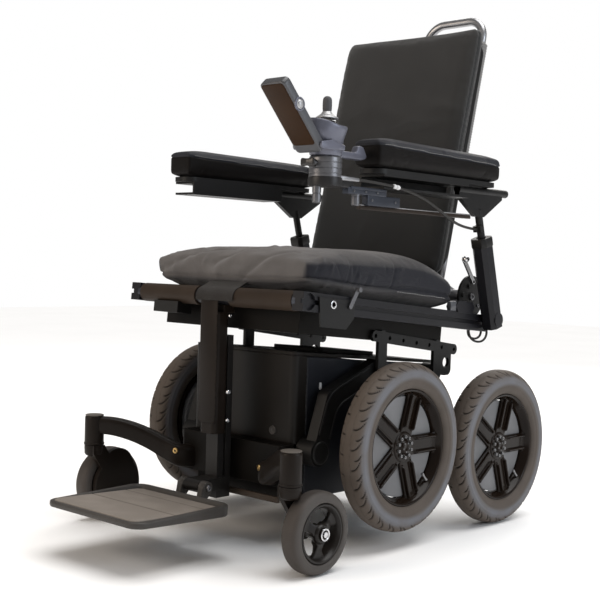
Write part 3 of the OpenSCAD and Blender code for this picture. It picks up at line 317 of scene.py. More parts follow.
def add_piece(name, shape, body, finish, stands_for=(), sharp=35):
    """Puts a shape into the scene as one mesh that rides on a body, faces outwards, smooth except at sharp
    edges."""
    points, faces = shape
    mesh = bpy.data.meshes.new(name)
    mesh.from_pydata((np.asarray(points) * MM).tolist(), [], faces)
    mesh.update()
    mesh.calc_loop_triangles()
    tri = np.zeros(len(mesh.loop_triangles) * 3, np.int32)
    mesh.loop_triangles.foreach_get("vertices", tri)
    corner = (np.asarray(points) * MM)[tri.reshape(-1, 3)]
    volume = np.einsum("ij,ij->i", corner[:, 0], np.cross(corner[:, 1], corner[:, 2])).sum()
    if volume < 0:
        mesh.flip_normals()
    mesh.shade_smooth()
    mesh.set_sharp_from_angle(angle=np.radians(sharp))
    piece = bpy.data.objects.new(name, mesh)
    scene.collection.objects.link(piece)
    mesh.materials.append(finish)
    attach(piece, body)
    if stands_for:
        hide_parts(*([stands_for] if isinstance(stands_for, str) else stands_for))
    return piece


def add_pair(name, shape, body, finish):
    """A left-hand piece and its twin; a body that each side has for itself is given with a place for the
    side."""
    for side, way in SIDES:
        add_piece(f"{name}_{side}", shape if way > 0 else mirrored(shape), body.format(side), finish)


# Finishes

def new_finish(name):
    """An empty node finish with its shader and an Object coordinate reader."""
    finish = bpy.data.materials.new(name)
    finish.use_nodes = True
    tree = finish.node_tree
    shader = next(n for n in tree.nodes if n.type == "BSDF_PRINCIPLED")
    place = tree.nodes.new("ShaderNodeTexCoord")
    return finish, tree, shader, place.outputs["Object"]


def noise(tree, place, scale, detail=3.0, stretch=None):
    """A noise field in Object coordinates, stretched along an axis where asked."""
    if stretch:
        mapping = tree.nodes.new("ShaderNodeMapping")
        mapping.inputs["Scale"].default_value = stretch
        tree.links.new(place, mapping.inputs["Vector"])
        place = mapping.outputs["Vector"]
    field = tree.nodes.new("ShaderNodeTexNoise")
    field.inputs["Scale"].default_value = scale
    field.inputs["Detail"].default_value = detail
    field.inputs["Roughness"].default_value = 0.5
    tree.links.new(place, field.inputs["Vector"])
    return field.outputs["Fac"]


def ramp(tree, value, stops):
    """A colour ramp over a value: pairs of place and colour."""
    node = tree.nodes.new("ShaderNodeValToRGB")
    for element, (spot, colour) in zip(node.color_ramp.elements, (stops[0], stops[-1])):
        element.position, element.color = spot, (*colour, 1.0)
    for spot, colour in stops[1:-1]:
        node.color_ramp.elements.new(spot).color = (*colour, 1.0)
    tree.links.new(value, node.inputs["Fac"])
    return node.outputs["Color"]


def span(tree, value, low, high, start=0.0, end=1.0):
    """A value carried from one range to another."""
    node = tree.nodes.new("ShaderNodeMapRange")
    for socket, number in zip(("From Min", "From Max", "To Min", "To Max"), (start, end, low, high)):
        node.inputs[socket].default_value = number
    tree.links.new(value, node.inputs["Value"])
    return node.outputs["Result"]


def maths(tree, kind, a, b):
    """One sum or product of two values, either of which may be a plain number."""
    node = tree.nodes.new("ShaderNodeMath")
    node.operation = kind
    for socket, value in zip(node.inputs, (a, b)):
        if isinstance(value, (int, float)):
            socket.default_value = value
        else:
            tree.links.new(value, socket)
    return node.outputs[0]


def mix(tree, share, a, b):
    """A mix of two colours by a share; plain colours are given as three numbers."""
    node = tree.nodes.new("ShaderNodeMix")
    node.data_type = "RGBA"
    tree.links.new(share, node.inputs["Factor"])
    for socket, value in zip((node.inputs[6], node.inputs[7]), (a, b)):
        if isinstance(value, (tuple, list)):
            socket.default_value = (*value, 1.0)
        else:
            tree.links.new(value, socket)
    return node.outputs[2]


def soft_edges(tree, radius):
    """The surface's normal rounded over its edges."""
    node = tree.nodes.new("ShaderNodeBevel")
    node.samples = 4
    node.inputs["Radius"].default_value = radius
    return node.outputs["Normal"]


def relief(tree, height, strength, distance, normal=None):
    """A bump of a height field, laid over another normal where given."""
    node = tree.nodes.new("ShaderNodeBump")
    node.inputs["Strength"].default_value = strength
    node.inputs["Distance"].default_value = distance
    tree.links.new(height, node.inputs["Height"])
    if normal is not None:
        tree.links.new(normal, node.inputs["Normal"])
    return node.outputs["Normal"]


def hard_finish(name, dark, light, rough, metallic=0.0, grain=900.0, bump=0.15, edge=0.0008, stretch=None,
                worn=None, specular=0.25):
    """Paint, moulded plastic or metal: two close tones in slow clouds, fine grain in the bump, gloss that
    wanders, rounded and faintly worn edges."""
    finish, tree, shader, place = new_finish(name)
    cloud = noise(tree, place, 9.0, 4.0)
    fine = noise(tree, place, grain, 2.0, stretch)
    colour = ramp(tree, cloud, [(0.3, dark), (0.7, light)])
    normal = soft_edges(tree, edge)
    if worn:
        flat = tree.nodes.new("ShaderNodeNewGeometry")
        dot = tree.nodes.new("ShaderNodeVectorMath")
        dot.operation = "DOT_PRODUCT"
        tree.links.new(normal, dot.inputs[0])
        tree.links.new(flat.outputs["Normal"], dot.inputs[1])
        patch = span(tree, noise(tree, place, 160.0, 3.0), 0.0, 1.0, 0.42, 0.6)
        rub = maths(tree, "MULTIPLY", span(tree, dot.outputs["Value"], 1.0, 0.0, 0.75, 0.97), patch)
        colour = mix(tree, rub, colour, worn)
    tree.links.new(colour, shader.inputs["Base Color"])
    shade = maths(tree, "ADD", maths(tree, "MULTIPLY", fine, 0.12), maths(tree, "MULTIPLY", cloud, 0.12))
    tree.links.new(maths(tree, "ADD", shade, rough - 0.12), shader.inputs["Roughness"])
    shader.inputs["Metallic"].default_value = metallic
    shader.inputs["Specular IOR Level"].default_value = specular
    tree.links.new(relief(tree, fine, bump, 0.0006, normal), shader.inputs["Normal"])
    return finish


def painted(tree, name):
    """A number that the piece's own points carry under a name."""
    node = tree.nodes.new("ShaderNodeAttribute")
    node.attribute_name = name
    return node.outputs["Fac"]


def cloth_finish(name, dark, light, rough, bump=0.35, sheen=0.25, side=None, painted_foot_shade=None,
                 specular=0.35):
    """Woven cover: crossed fine threads in the bump, two tones in slow clouds and a little sheen; a painted
    share mixes in a second tone (a second cloth, on the seat also painted shade), and painted shade may darken
    it towards its foot."""
    finish, tree, shader, place = new_finish(name)
    cloud = noise(tree, place, 14.0, 5.0)
    speck = noise(tree, place, 700.0, 2.0)
    colour = ramp(tree, maths(tree, "ADD", maths(tree, "MULTIPLY", cloud, 0.65),
                              maths(tree, "MULTIPLY", speck, 0.35)),
                  [(0.3, dark), (0.7, light)])
    thread = []
    for axis in ("X", "Z"):
        wave = tree.nodes.new("ShaderNodeTexWave")
        wave.bands_direction = axis
        wave.inputs["Scale"].default_value = 1500.0
        wave.inputs["Distortion"].default_value = 0.6
        tree.links.new(place, wave.inputs["Vector"])
        thread.append(wave.outputs["Fac"])
    woven = maths(tree, "ADD", maths(tree, "MULTIPLY", thread[0], thread[1]),
                  maths(tree, "MULTIPLY", speck, 0.6))
    gloss = maths(tree, "ADD", maths(tree, "MULTIPLY", speck, 0.1), rough - 0.05)
    if side:
        share = painted(tree, "side_share")
        colour = mix(tree, share, colour, side[0])
        gloss = maths(tree, "ADD", gloss, maths(tree, "MULTIPLY", share, side[1] - rough))
    # Painted shade: the colour darkens towards the piece's foot by its height, standing in for the shadow low
    # on the back.
    if painted_foot_shade:
        height = tree.nodes.new("ShaderNodeSeparateXYZ")
        tree.links.new(place, height.inputs["Vector"])
        colour = mix(tree, span(tree, height.outputs["Z"], 0.0, 1.0, painted_foot_shade[0], painted_foot_shade[1]), painted_foot_shade[2], colour)
    tree.links.new(colour, shader.inputs["Base Color"])
    tree.links.new(gloss, shader.inputs["Roughness"])
    shader.inputs["Sheen Weight"].default_value = sheen
    shader.inputs["Sheen Roughness"].default_value = 0.45
    shader.inputs["Specular IOR Level"].default_value = specular
    tree.links.new(relief(tree, woven, bump, 0.0006), shader.inputs["Normal"])
    return finish


def rubber_finish(name, crown, flank, bead, dust, rough):
    """Tyre rubber: painted shares pick crown, sidewall and bead tones and paint shade into the grooves, with
    dusty clouds and a mealy bump."""
    finish, tree, shader, place = new_finish(name)
    cloud = noise(tree, place, 22.0, 5.0)
    fine = noise(tree, place, 420.0, 4.0)
    colour = mix(tree, painted(tree, "tread_share"), flank, crown)
    colour = mix(tree, painted(tree, "bead_share"), colour, bead)
    colour = mix(tree, span(tree, cloud, 0.0, 0.5, 0.42, 0.75), colour, dust)
    # Painted shade: the grooves are darkened towards near black.
    colour = mix(tree, span(tree, painted(tree, "groove_shade_share"), 0.0, 0.92), colour, (0.008, 0.007, 0.006))
    tree.links.new(colour, shader.inputs["Base Color"])
    tree.links.new(maths(tree, "ADD", maths(tree, "MULTIPLY", fine, 0.2), rough - 0.1),
                   shader.inputs["Roughness"])
    shader.inputs["Specular IOR Level"].default_value = 0.3
    tree.links.new(relief(tree, fine, 0.3, 0.0008), shader.inputs["Normal"])
    return finish


# This black's brown tint is painted warm light from the front.
satin_cover = hard_finish("satin_black_cover", (0.0066, 0.0053, 0.0043), (0.0108, 0.0088, 0.0073), 0.42,
                          bump=0.10, edge=0.005, worn=(0.034, 0.030, 0.027), specular=0.18)
tray_cover = hard_finish("satin_black_tray", (0.0040, 0.0033, 0.0027), (0.0064, 0.0053, 0.0044), 0.46,
                         bump=0.10, edge=0.003, worn=(0.030, 0.026, 0.023), specular=0.10)
sill_brown = hard_finish("brown_sill_strip", (0.040, 0.0290, 0.0215), (0.056, 0.0420, 0.0320), 0.44,
                         bump=0.15, specular=0.2)
# The side covers' blue cast is painted bluish light from the side.
blue_cover = hard_finish("blue_black_cover", (0.0100, 0.0108, 0.0140), (0.0156, 0.0166, 0.0212), 0.36,
                         bump=0.10, edge=0.006, worn=(0.05, 0.05, 0.056), specular=0.24)
powder_black = hard_finish("powder_coat_black", (0.0052, 0.0049, 0.0048), (0.0085, 0.0081, 0.0080), 0.44,
                           grain=1400, bump=0.3, worn=(0.05, 0.048, 0.046))
rail_black = hard_finish("anodised_black_rail", (0.0070, 0.0070, 0.0088), (0.0110, 0.0110, 0.0135), 0.34,
                         stretch=(8, 0.2, 1), worn=(0.08, 0.08, 0.09))
# The rim's brown tint is a painted reflection of warm surroundings on gloss black.
gloss_black = hard_finish("gloss_black_rim", (0.0082, 0.0050, 0.0033), (0.0124, 0.0078, 0.0053), 0.17,
                          bump=0.02, edge=0.0016, specular=0.15)
moulded_black = hard_finish("moulded_black_plastic", (0.0055, 0.0051, 0.0048), (0.0085, 0.0080, 0.0076), 0.46,
                            bump=0.35, grain=1800)
# Its brown tint is painted warm light from the front.
post_brown = hard_finish("brown_black_cover", (0.0092, 0.0062, 0.0044), (0.0140, 0.0096, 0.0070), 0.40,
                         bump=0.12, edge=0.004, worn=(0.045, 0.036, 0.030), specular=0.12)
aluminium = hard_finish("satin_aluminium", (0.30, 0.30, 0.31), (0.42, 0.42, 0.43), 0.34, 1.0, 500, 0.2,
                        stretch=(1, 0.05, 1))
bright_steel = hard_finish("bright_steel", (0.55, 0.55, 0.56), (0.70, 0.70, 0.71), 0.24, 1.0, 700, 0.1)
dull_steel = hard_finish("dull_steel", (0.13, 0.13, 0.14), (0.20, 0.20, 0.21), 0.38, 1.0, 700, 0.2)
nut_steel = hard_finish("dark_nut_steel", (0.20, 0.20, 0.205), (0.30, 0.30, 0.305), 0.30, 0.9, bump=0.1)
brass = hard_finish("brass", (0.45, 0.30, 0.12), (0.60, 0.42, 0.18), 0.30, 1.0, 700, 0.1)
grey_drum = hard_finish("pale_grey_drum", (0.150, 0.150, 0.154), (0.205, 0.205, 0.210), 0.55, bump=0.25)
stick_grey = hard_finish("grey_blue_housing", (0.098, 0.101, 0.130), (0.138, 0.142, 0.178), 0.34, 0.3,
                         bump=0.08, worn=(0.30, 0.30, 0.34), specular=0.5)
frame_grey = hard_finish("display_frame_grey", (0.050, 0.051, 0.056), (0.074, 0.076, 0.084), 0.36, bump=0.12,
                         worn=(0.16, 0.16, 0.17), specular=0.5)
# The display back's brown is a painted reflection of warm surroundings on glossy black.
panel_brown = hard_finish("brown_display_back", (0.0215, 0.0092, 0.0030), (0.0330, 0.0150, 0.0056), 0.34,
                          bump=0.05, specular=0.10)
# Brown-grey rubber; its brown is deepened by painted warm light from the front.
sleeve_brown = hard_finish("brown_grey_sleeve", (0.026, 0.0178, 0.0126), (0.038, 0.0268, 0.0195), 0.55,
                           bump=0.4, grain=1100, specular=0.12)
sleeve_pale = hard_finish("pale_grip_sleeve", (0.16, 0.155, 0.15), (0.23, 0.225, 0.22), 0.55, bump=0.25)
knob_grey = hard_finish("grey_knob_rubber", (0.060, 0.060, 0.064), (0.090, 0.090, 0.095), 0.55, bump=0.3)
knob_dark = hard_finish("dark_knob_plastic", (0.012, 0.0105, 0.0100), (0.019, 0.0170, 0.0165), 0.28,
                        bump=0.12, worn=(0.10, 0.10, 0.10), specular=0.5)
soft_black = hard_finish("soft_black_rubber", (0.0070, 0.0070, 0.0070), (0.0115, 0.0115, 0.0115), 0.5,
                         bump=0.3)
cable_black = hard_finish("cable_sheath", (0.016, 0.0145, 0.013), (0.026, 0.024, 0.022), 0.45, bump=0.15)
clip_white = hard_finish("white_clip", (0.60, 0.60, 0.60), (0.72, 0.72, 0.72), 0.45, bump=0.1)
mat_grey = rubber_finish("grey_brown_mat", (0.176, 0.153, 0.132), (0.176, 0.153, 0.132),
                         (0.176, 0.153, 0.132), (0.236, 0.208, 0.182), 0.78)
tray_black = hard_finish("foot_tray_plastic", (0.040, 0.0360, 0.0330), (0.060, 0.0550, 0.0505), 0.46,
                         bump=0.4, grain=1300, worn=(0.13, 0.12, 0.112))
# The castings' brown tint is painted warm light from the front.
arm_brown = hard_finish("brown_black_casting", (0.0088, 0.0062, 0.0046), (0.0132, 0.0096, 0.0072), 0.38,
                        bump=0.16, worn=(0.05, 0.042, 0.036), specular=0.14)
caster_black = hard_finish("caster_wheel_black", (0.0100, 0.0080, 0.0068), (0.0150, 0.0122, 0.0105), 0.34,
                           bump=0.12)
lid_brown = hard_finish("grey_brown_lid", (0.085, 0.074, 0.064), (0.115, 0.102, 0.090), 0.48, bump=0.2)
cap_silver = hard_finish("silver_cap", (0.34, 0.34, 0.345), (0.46, 0.46, 0.465), 0.36, 0.6, bump=0.1)
drum_metal = hard_finish("grey_drum_metal", (0.13, 0.13, 0.138), (0.19, 0.19, 0.20), 0.34, 0.75, bump=0.12,
                         stretch=(1, 1, 0.05))
mount_dark = hard_finish("dark_mount_plate", (0.018, 0.0172, 0.0175), (0.028, 0.0270, 0.0275), 0.36, 0.2,
                         bump=0.12, worn=(0.12, 0.12, 0.12))
slide_dark = hard_finish("dark_slide_metal", (0.0130, 0.0118, 0.0112), (0.0200, 0.0184, 0.0176), 0.36, 0.2,
                         bump=0.12, worn=(0.08, 0.078, 0.076), specular=0.2)
bar_blue = hard_finish("blue_grey_bar", (0.036, 0.040, 0.052), (0.052, 0.058, 0.072), 0.34, 0.4, bump=0.12,
                       worn=(0.2, 0.2, 0.22))
strip_brown = hard_finish("brown_black_strip", (0.018, 0.0115, 0.0078), (0.026, 0.0172, 0.0120), 0.34,
                          bump=0.12)
plug_grey = hard_finish("grey_plug", (0.045, 0.042, 0.040), (0.065, 0.061, 0.058), 0.4, bump=0.15)
# The seat cloth's second tone is the side cloth, its blue cast painted light from the side; on the front band
# below the seam it serves as painted shade.
seat_cloth = cloth_finish("charcoal_cover_cloth", (0.094, 0.087, 0.084), (0.146, 0.137, 0.133), 0.74,
                          sheen=0.12, side=((0.0088, 0.0090, 0.0140), 0.52), specular=0.22)
# The back cloth's last setting is painted shade, darker towards the foot of the back.
back_cloth = cloth_finish("charcoal_back_cloth", (0.0165, 0.0158, 0.0150), (0.0255, 0.0247, 0.0236), 0.78,
                          side=((0.0075, 0.0072, 0.0072), 0.6), painted_foot_shade=(0.66, 0.98, (0.0035, 0.0034, 0.0033)))
pad_vinyl = cloth_finish("arm_pad_vinyl", (0.0180, 0.0186, 0.0225), (0.0270, 0.0280, 0.0335), 0.50, bump=0.2,
                         sheen=0.03, side=((0.0036, 0.0025, 0.0021), 0.5), specular=0.10)
thread_pale = hard_finish("pale_thread", (0.30, 0.29, 0.28), (0.42, 0.41, 0.40), 0.8)
flap_cloth = cloth_finish("dark_flap_cloth", (0.0150, 0.0128, 0.0112), (0.0230, 0.0200, 0.0178), 0.8,
                          sheen=0.1, specular=0.2)
# Drive tyre tones: the sidewall's lighter bluish tone is painted light from the side, and the darker bead tone
# by the rim is painted shade.
tyre_rubber = rubber_finish("drive_tyre_rubber", (0.084, 0.066, 0.053), (0.138, 0.140, 0.153),
                            (0.074, 0.060, 0.050), (0.104, 0.086, 0.072), 0.66)
caster_rubber = rubber_finish("caster_tyre_rubber", (0.046, 0.038, 0.033), (0.062, 0.055, 0.050),
                              (0.062, 0.055, 0.050), (0.072, 0.063, 0.056), 0.58)

NODE_FINISHES = {
    satin_cover: "front_cover top_cover",
    tray_cover: "base_tray seat_pan",
    blue_cover: "side_covers",
    arm_brown: "caster_fork_left caster_fork_right",
    powder_black: "cluster_case_left cluster_case_right front_lift_arms rear_lift_arms seat_bars "
                  "rail_bracket recline_plates arm_frame_left arm_frame_right back_shell",
    rail_black: "side_rails cross_tubes arm_receiver_left arm_receiver_right",
    moulded_black: "battery_packs junction_box",
    post_brown: "foot_cover",
    dull_steel: "cluster_gearmotor cluster_shaft release_lever",
    slide_dark: "foot_slide",
    grey_drum: "hub_motors",
    bright_steel: "recline_lever",
    aluminium: "back_hoop",
    sleeve_brown: "tube_sleeves",
}
for node_finish, names in NODE_FINISHES.items():
    for node_name in names.split():
        nodes[node_name].data.materials.clear()
        nodes[node_name].data.materials.append(node_finish)


# Cords


CABLE_ROUTE = [
    (301, -157.6, 744), (301, -150, 744), (303, -137, 744), (307.5, -118, 743), (312.5, -101, 741.5),
               (315, -84, 740), (315.5, -66, 738.5),
    (315.5, -45, 736), (315, -18, 732.5), (313.5, 14, 727), (311, 50, 719), (307.5, 86, 708), (304, 118, 696),
               (300.5, 148, 685),
    (295, 182, 676), (288, 218, 671), (281.5, 254, 669), (278, 288.415, 667.564)]
OUTER_LOOP = [
    (242, 566, -19.5), (242, 566, -26), (242.5, 568.5, -33), (243.5, 575.5, -39), (244.5, 586, -43),
              (245.5, 599, -44.5), (246.5, 613, -43),
    (247, 625, -38), (247, 633, -29), (246, 635.5, -18.5), (244.5, 633, -8), (243, 627.5, -1.5),
              (242, 621, 0), (242, 616.5, 0)]
INNER_LOOP = [
    (234, 574, -19.5), (234, 574, -25), (234, 577, -31), (234.5, 584.5, -35.5), (235, 595, -37.5),
              (235.5, 606, -37), (236, 616, -34),
    (236, 623.5, -28.5), (235.5, 627, -21), (235, 626.5, -14), (234.5, 624, -9.5), (234, 620, -8.5),
              (234, 616.5, -8.5)]


def relaxed(path):
    """A line of points with its kinks eased: each inner point moves to the middle of its neighbours, while
    three points at each end stay."""
    for _ in range(75):
        path = np.concatenate([path[:3], (path[2:-4] + 2 * path[3:-3] + path[4:-2]) / 4, path[-3:]])
    return path


def laid_cord(name, route, radius, body, node):
    """A round cord along its route."""
    path = relaxed(smooth_path(route, 90))
    piece = add_piece(name, tube(path, radius, 12), body, cable_black, node)
    return piece


def cable_tie(path, y, radius):
    """A narrow band round a cord where it passes a place along Y."""
    i = int(np.abs(path[:, 1] - y).argmin())
    ahead = unit(path[i + 1] - path[i - 1])
    run = np.linspace(-4.6, 4.6, 5)[:, None] * ahead + path[i]
    return tube(run, radius + np.array([0.5, 1.4, 1.7, 1.4, 0.5]), 18)


cable_path = smooth_path(CABLE_ROUTE, 90)
ties = [add_piece(f"cable_tie_{i}", cable_tie(cable_path, y, 3), "arm_left", clip_white)
        for i, y in enumerate((-62, -50))]
laid_cord("joystick_lead", CABLE_ROUTE, 3, "arm_left", "joystick_cable")
laid_cord("harness_outer_loop", in_seat(OUTER_LOOP), 2.6, "seat", "seat_harness")
laid_cord("harness_inner_loop", in_seat(INNER_LOOP), 2.6, "seat", "seat_harness")


# Studio

def studio():
    """A near-white floor, a sky that looks white behind the chair and lights it dimly, and four large soft
    lights."""
    finish, tree, shader, place = new_finish("pale_floor")
    shader.inputs["Roughness"].default_value = 0.9
    tree.links.new(ramp(tree, noise(tree, place, 2.0), [(0.3, (0.94, 0.938, 0.935)),
                                                        (0.7, (0.965, 0.963, 0.96))]),
                   shader.inputs["Base Color"])
    across, along = np.meshgrid(np.linspace(-9000, 9000, 5), np.linspace(-9000, 9000, 5))
    points = np.stack([across, along, np.full_like(across, -0.5)], -1).reshape(-1, 3)
    mesh = bpy.data.meshes.new("studio_floor")
    mesh.from_pydata((points * MM).tolist(), [], grid_faces(5, 5, loop_cols=False))
    mesh.materials.append(finish)
    floor = bpy.data.objects.new("studio_floor", mesh)
    scene.collection.objects.link(floor)
    world = bpy.data.worlds.new("studio_sky")
    world.use_nodes = True
    sky = world.node_tree
    seen = sky.nodes["Background"]
    seen.inputs["Color"].default_value = (1.0, 1.0, 1.0, 1.0)
    seen.inputs["Strength"].default_value = 1.0
    given = sky.nodes.new("ShaderNodeBackground")
    given.inputs["Color"].default_value = (1.0, 0.985, 0.97, 1.0)
    given.inputs["Strength"].default_value = SKY_LIGHT
    path, both = sky.nodes.new("ShaderNodeLightPath"), sky.nodes.new("ShaderNodeMixShader")
    sky.links.new(path.outputs["Is Camera Ray"], both.inputs["Fac"])
    sky.links.new(given.outputs["Background"], both.inputs[1])
    sky.links.new(seen.outputs["Background"], both.inputs[2])
    sky.links.new(both.outputs["Shader"], sky.nodes["World Output"].inputs["Surface"])
    scene.world = world
    scene.view_settings.view_transform = "Standard"
    for name, kind, spot, size, power, colour in LAMPS:
        data = bpy.data.lights.new(name, kind)
        data.energy, data.color = power, colour
        if kind == "SUN":
            data.angle = size
        else:
            data.size = size
        lamp = bpy.data.objects.new(name, data)
        scene.collection.objects.link(lamp)
        back = unit(np.array(spot) - [0, 0, 0.45])
        side = unit(np.cross([0, 0.001, 1], back))
        turn = np.eye(4)
        turn[:3, :3], turn[:3, 3] = np.stack([side, np.cross(back, side), back], -1), spot
        lamp.matrix_world = Matrix(turn.tolist())


SKY_LIGHT = 0.25
LAMPS = (("side_light", "AREA", (3.6, 1.0, 1.7), 1.8, 46, (0.84, 0.91, 1.0)),
         ("front_light", "AREA", (-1.2, -3.4, 1.9), 1.8, 46, (1.0, 0.86, 0.72)),
         ("rear_light", "AREA", (-1.2, 3.2, 2.4), 2.0, 40, (1.0, 0.97, 0.93)),
         ("roof_light", "SUN", (0.5, 0.6, 4.0), 0.9, 2.6, (1.0, 0.99, 0.98)))
studio()


# Drive wheels

WHEEL_X = 289.5
AXLES = {"front": (20.605, 208.94), "rear": (379.0, 175.0)}
TREAD_PITCHES = 27


def smooth_step(v):
    """A share that leaves zero and reaches one without a corner."""
    v = np.clip(v, 0, 1)
    return v * v * (3 - 2 * v)


def tyre_section(width, radius, rows):
    """Section of a tyre from bead to bead: half widths and radii on one side and their twins, joined by a
    smooth line."""
    width, radius = np.array(width), np.array(radius)
    line = np.concatenate([np.stack([-width, radius], -1), np.stack([width, radius], -1)[::-1][1:]])
    return smooth_path(np.concatenate([line, np.zeros((len(line), 1))], -1), rows)[:, :2]


def tyre_surface():
    """Tyre as a ring of sections: hooked grooves are cut into the shoulders, long and short in turn, and fine
    ribs stand on each sidewall."""
    rows, steps = 74, 1134
    section = tyre_section([17, 22, 27, 29, 28.8, 26.5, 21.5, 12, 0],
                           [121.2, 122.5, 129, 142, 153, 162.5, 169.5, 174, 175], rows)
    run = np.concatenate([[0], np.cumsum(np.linalg.norm(np.diff(section, axis=0), axis=1))])
    s = (run - run[-1] / 2)[:, None]
    a = np.linspace(0, TURN, steps, endpoint=False)[None, :]
    out = np.abs(s)

    def cut(phase, start, end, hook):
        lean = hook * np.clip((out - start) / (end - start), 0, 1) ** 2.5
        turn = (a * TREAD_PITCHES / TURN + phase + lean + 0.25 * (s > 0)) % 1 - 0.5
        wide = np.exp(-(turn / 0.042) ** 4)
        inside = 1 / (1 + np.exp(-(out - start) / 0.7)) / (1 + np.exp((out - end) / 0.7))
        return wide * inside

    groove = np.maximum(cut(0, 10, 31, 0.5), cut(0.5, 19, 33, 0.32))
    ring = np.exp(-((out - 8 - 1.4 * np.sin(a * TREAD_PITCHES)) / 0.9) ** 2)
    rib = 0.8 * (np.exp(-((out - 40) / 1.2) ** 2) + np.exp(-((out - 57) / 1.5) ** 2)) + 0.35 * np.exp(-((out
            - 49) / 1.0) ** 2)
    normal = unit(np.stack([-np.gradient(section[:, 1]), np.gradient(section[:, 0])], -1))
    flat = section[:, None, :] + normal[:, None, :] * (rib - 3.2 * groove - 0.7 * ring)[..., None]
    rings = np.stack([flat[..., 0], flat[..., 1] * np.cos(a), flat[..., 1] * np.sin(a)], -1)
    # crown picks the tread tone; inner picks the darker band by the rim, which is painted shade.
    crown = np.broadcast_to(1 / (1 + np.exp((out - 33) / 2.2)), (rows, steps)).ravel()
    inner = np.broadcast_to(smooth_step((out - 45) / 11), (rows, steps)).ravel()
    # The third share returned is painted shade for the hooked grooves and the ring groove.
    return (rings.reshape(-1, 3), grid_faces(rows, steps, loop_rows=True)), crown, np.maximum(groove,
            0.35 * ring).ravel(), inner


TYRE, TREAD_SHARE, GROOVE_SHADE_SHARE, BEAD_SHARE = tyre_surface()


def paint_share(piece, name, share):
    """Stores one number a point on a piece for its finish to read."""
    layer = piece.data.attributes.new(name, "FLOAT", "POINT")
    layer.data.foreach_set("value", np.asarray(share, np.float32))


def round_x(shape, angle):
    """A shape turned about the X axis."""
    p = np.asarray(shape[0], float)
    c, s = np.cos(angle), np.sin(angle)
    return np.stack([p[..., 0], p[..., 1] * c - p[..., 2] * s, p[..., 1] * s + p[..., 2] * c], -1), shape[1]


def spoke_shape():
    """One spoke pointing up: sections carried outwards, flared into the ring, a rib with steep flanks along
    each edge and a channel between."""
    r = np.linspace(22, 117, 44)[:, None]
    v = np.sin(np.linspace(-np.pi / 2, np.pi / 2, 83))[None, :]
    half = 20.5 + 10 * np.clip((r - 94) / 23, 0, 1) ** 2
    side = v * half
    ends = smooth_step((r - 36) / 6) * smooth_step((111 - r) / 7)
    rib = np.exp(-((np.abs(side) - 14.2) / 2.9) ** 6)
    tall = 5.6 + 7.6 * rib * ends + 2.4 * smooth_step((r - 98) / 16)
    x = 0.6 + tall * (1 - np.abs(v) ** 22) ** 0.45
    return capped(np.stack([x, side, np.broadcast_to(r, x.shape)], -1))


def rim_shapes():
    """Cast rim about its axle, outer face towards +X: a dished ring, five spokes, a hub, and its nuts and
    valve."""
    ring = turned([(-26, 112), (-26, 119.4), (-23, 121), (-8, 118.6), (13, 118.6), (16.5, 120.8),
                   (18.8, 121.2), (20.2, 120), (20.4, 117.4),
                   (19, 115.4), (15.6, 113.8), (5, 107.6), (1.6, 105.8), (0.4, 105.6), (-5, 106.6),
                   (-11, 111)], 144, closed=True)
    spokes = [round_x(spoke_shape(), TURN * (i / 5 - 0.25)) for i in range(5)]
    hub = turned([(0.6, 14), (0.6, 29), (6.2, 31.5), (7.6, 31), (8.4, 29.4), (8.6, 27), (8.4, 15.4),
                  (9.4, 14), (13.4, 12.6),
                  (15, 10.8), (15.4, 7), (14.2, 5), (13.8, 1)], 72)
    axle = turned([(-75.5, 6), (-75.5, 11.8), (-74, 12), (3, 12), (3, 6)], 40)
    nuts = [round_x(screw(8.2, 0, 21.5, 3.6, 5.6), TURN * i / 10) for i in range(10)]
    nuts += [round_x(screw(13.2, 0, 9.6, 1.7, 2.6), TURN * (i + 0.5) / 5) for i in range(5)]
    stem = [(0, 1), (0, 3.4), (3, 3.4), (5, 2.6), (15, 2.6), (15.4, 3.4), (21, 3.4), (21.6, 2.4), (21.6, 1)]
    valve = round_x(shifted(placed(upright(turned(stem, 18)), lambda p: p * [1, 1, -1]), 11, 0, 109),
                    -TURN * 0.375)
    return joined(ring, *spokes, hub, axle), joined(*nuts, valve)


RIM, RIM_NUTS = rim_shapes()
for end, (axle_y, axle_z) in AXLES.items():
    for side, way in SIDES:
        body = f"{end}_{side}_wheel"
        spot = np.array([way * WHEEL_X, axle_y, axle_z])
        tyre = add_piece(f"{end}_{side}_tyre_rubber", set_at(TYRE, way, spot), body, tyre_rubber,
                         f"{end}_{side}_tyre", sharp=80)
        for share_name, share in (("tread_share", TREAD_SHARE), ("groove_shade_share", GROOVE_SHADE_SHARE),
                                  ("bead_share", BEAD_SHARE)):
            paint_share(tyre, share_name, share)
        add_piece(f"{end}_{side}_rim_casting", set_at(RIM, way, spot), body, gloss_black, f"{end}_{side}_rim",
                  sharp=40)
        add_piece(f"{end}_{side}_rim_nuts", set_at(RIM_NUTS, way, spot), body, nut_steel)


# Casters

def caster_tyre_surface():
    """Caster tyre: a closed section with full shoulders and a shallow line on each flank, carried round the
    axle."""
    section = tyre_section([15, 19, 20.8, 20.2, 20.4, 19.6, 16.5, 10, 0],
                           [57.2, 58.5, 62, 63.4, 65, 70, 75, 78.3, 79], 60)
    return turned(section, 140, closed=True), np.repeat(1 / (1 + np.exp((np.abs(section[:, 0]) - 17) / 1.5)),
                                                        140)


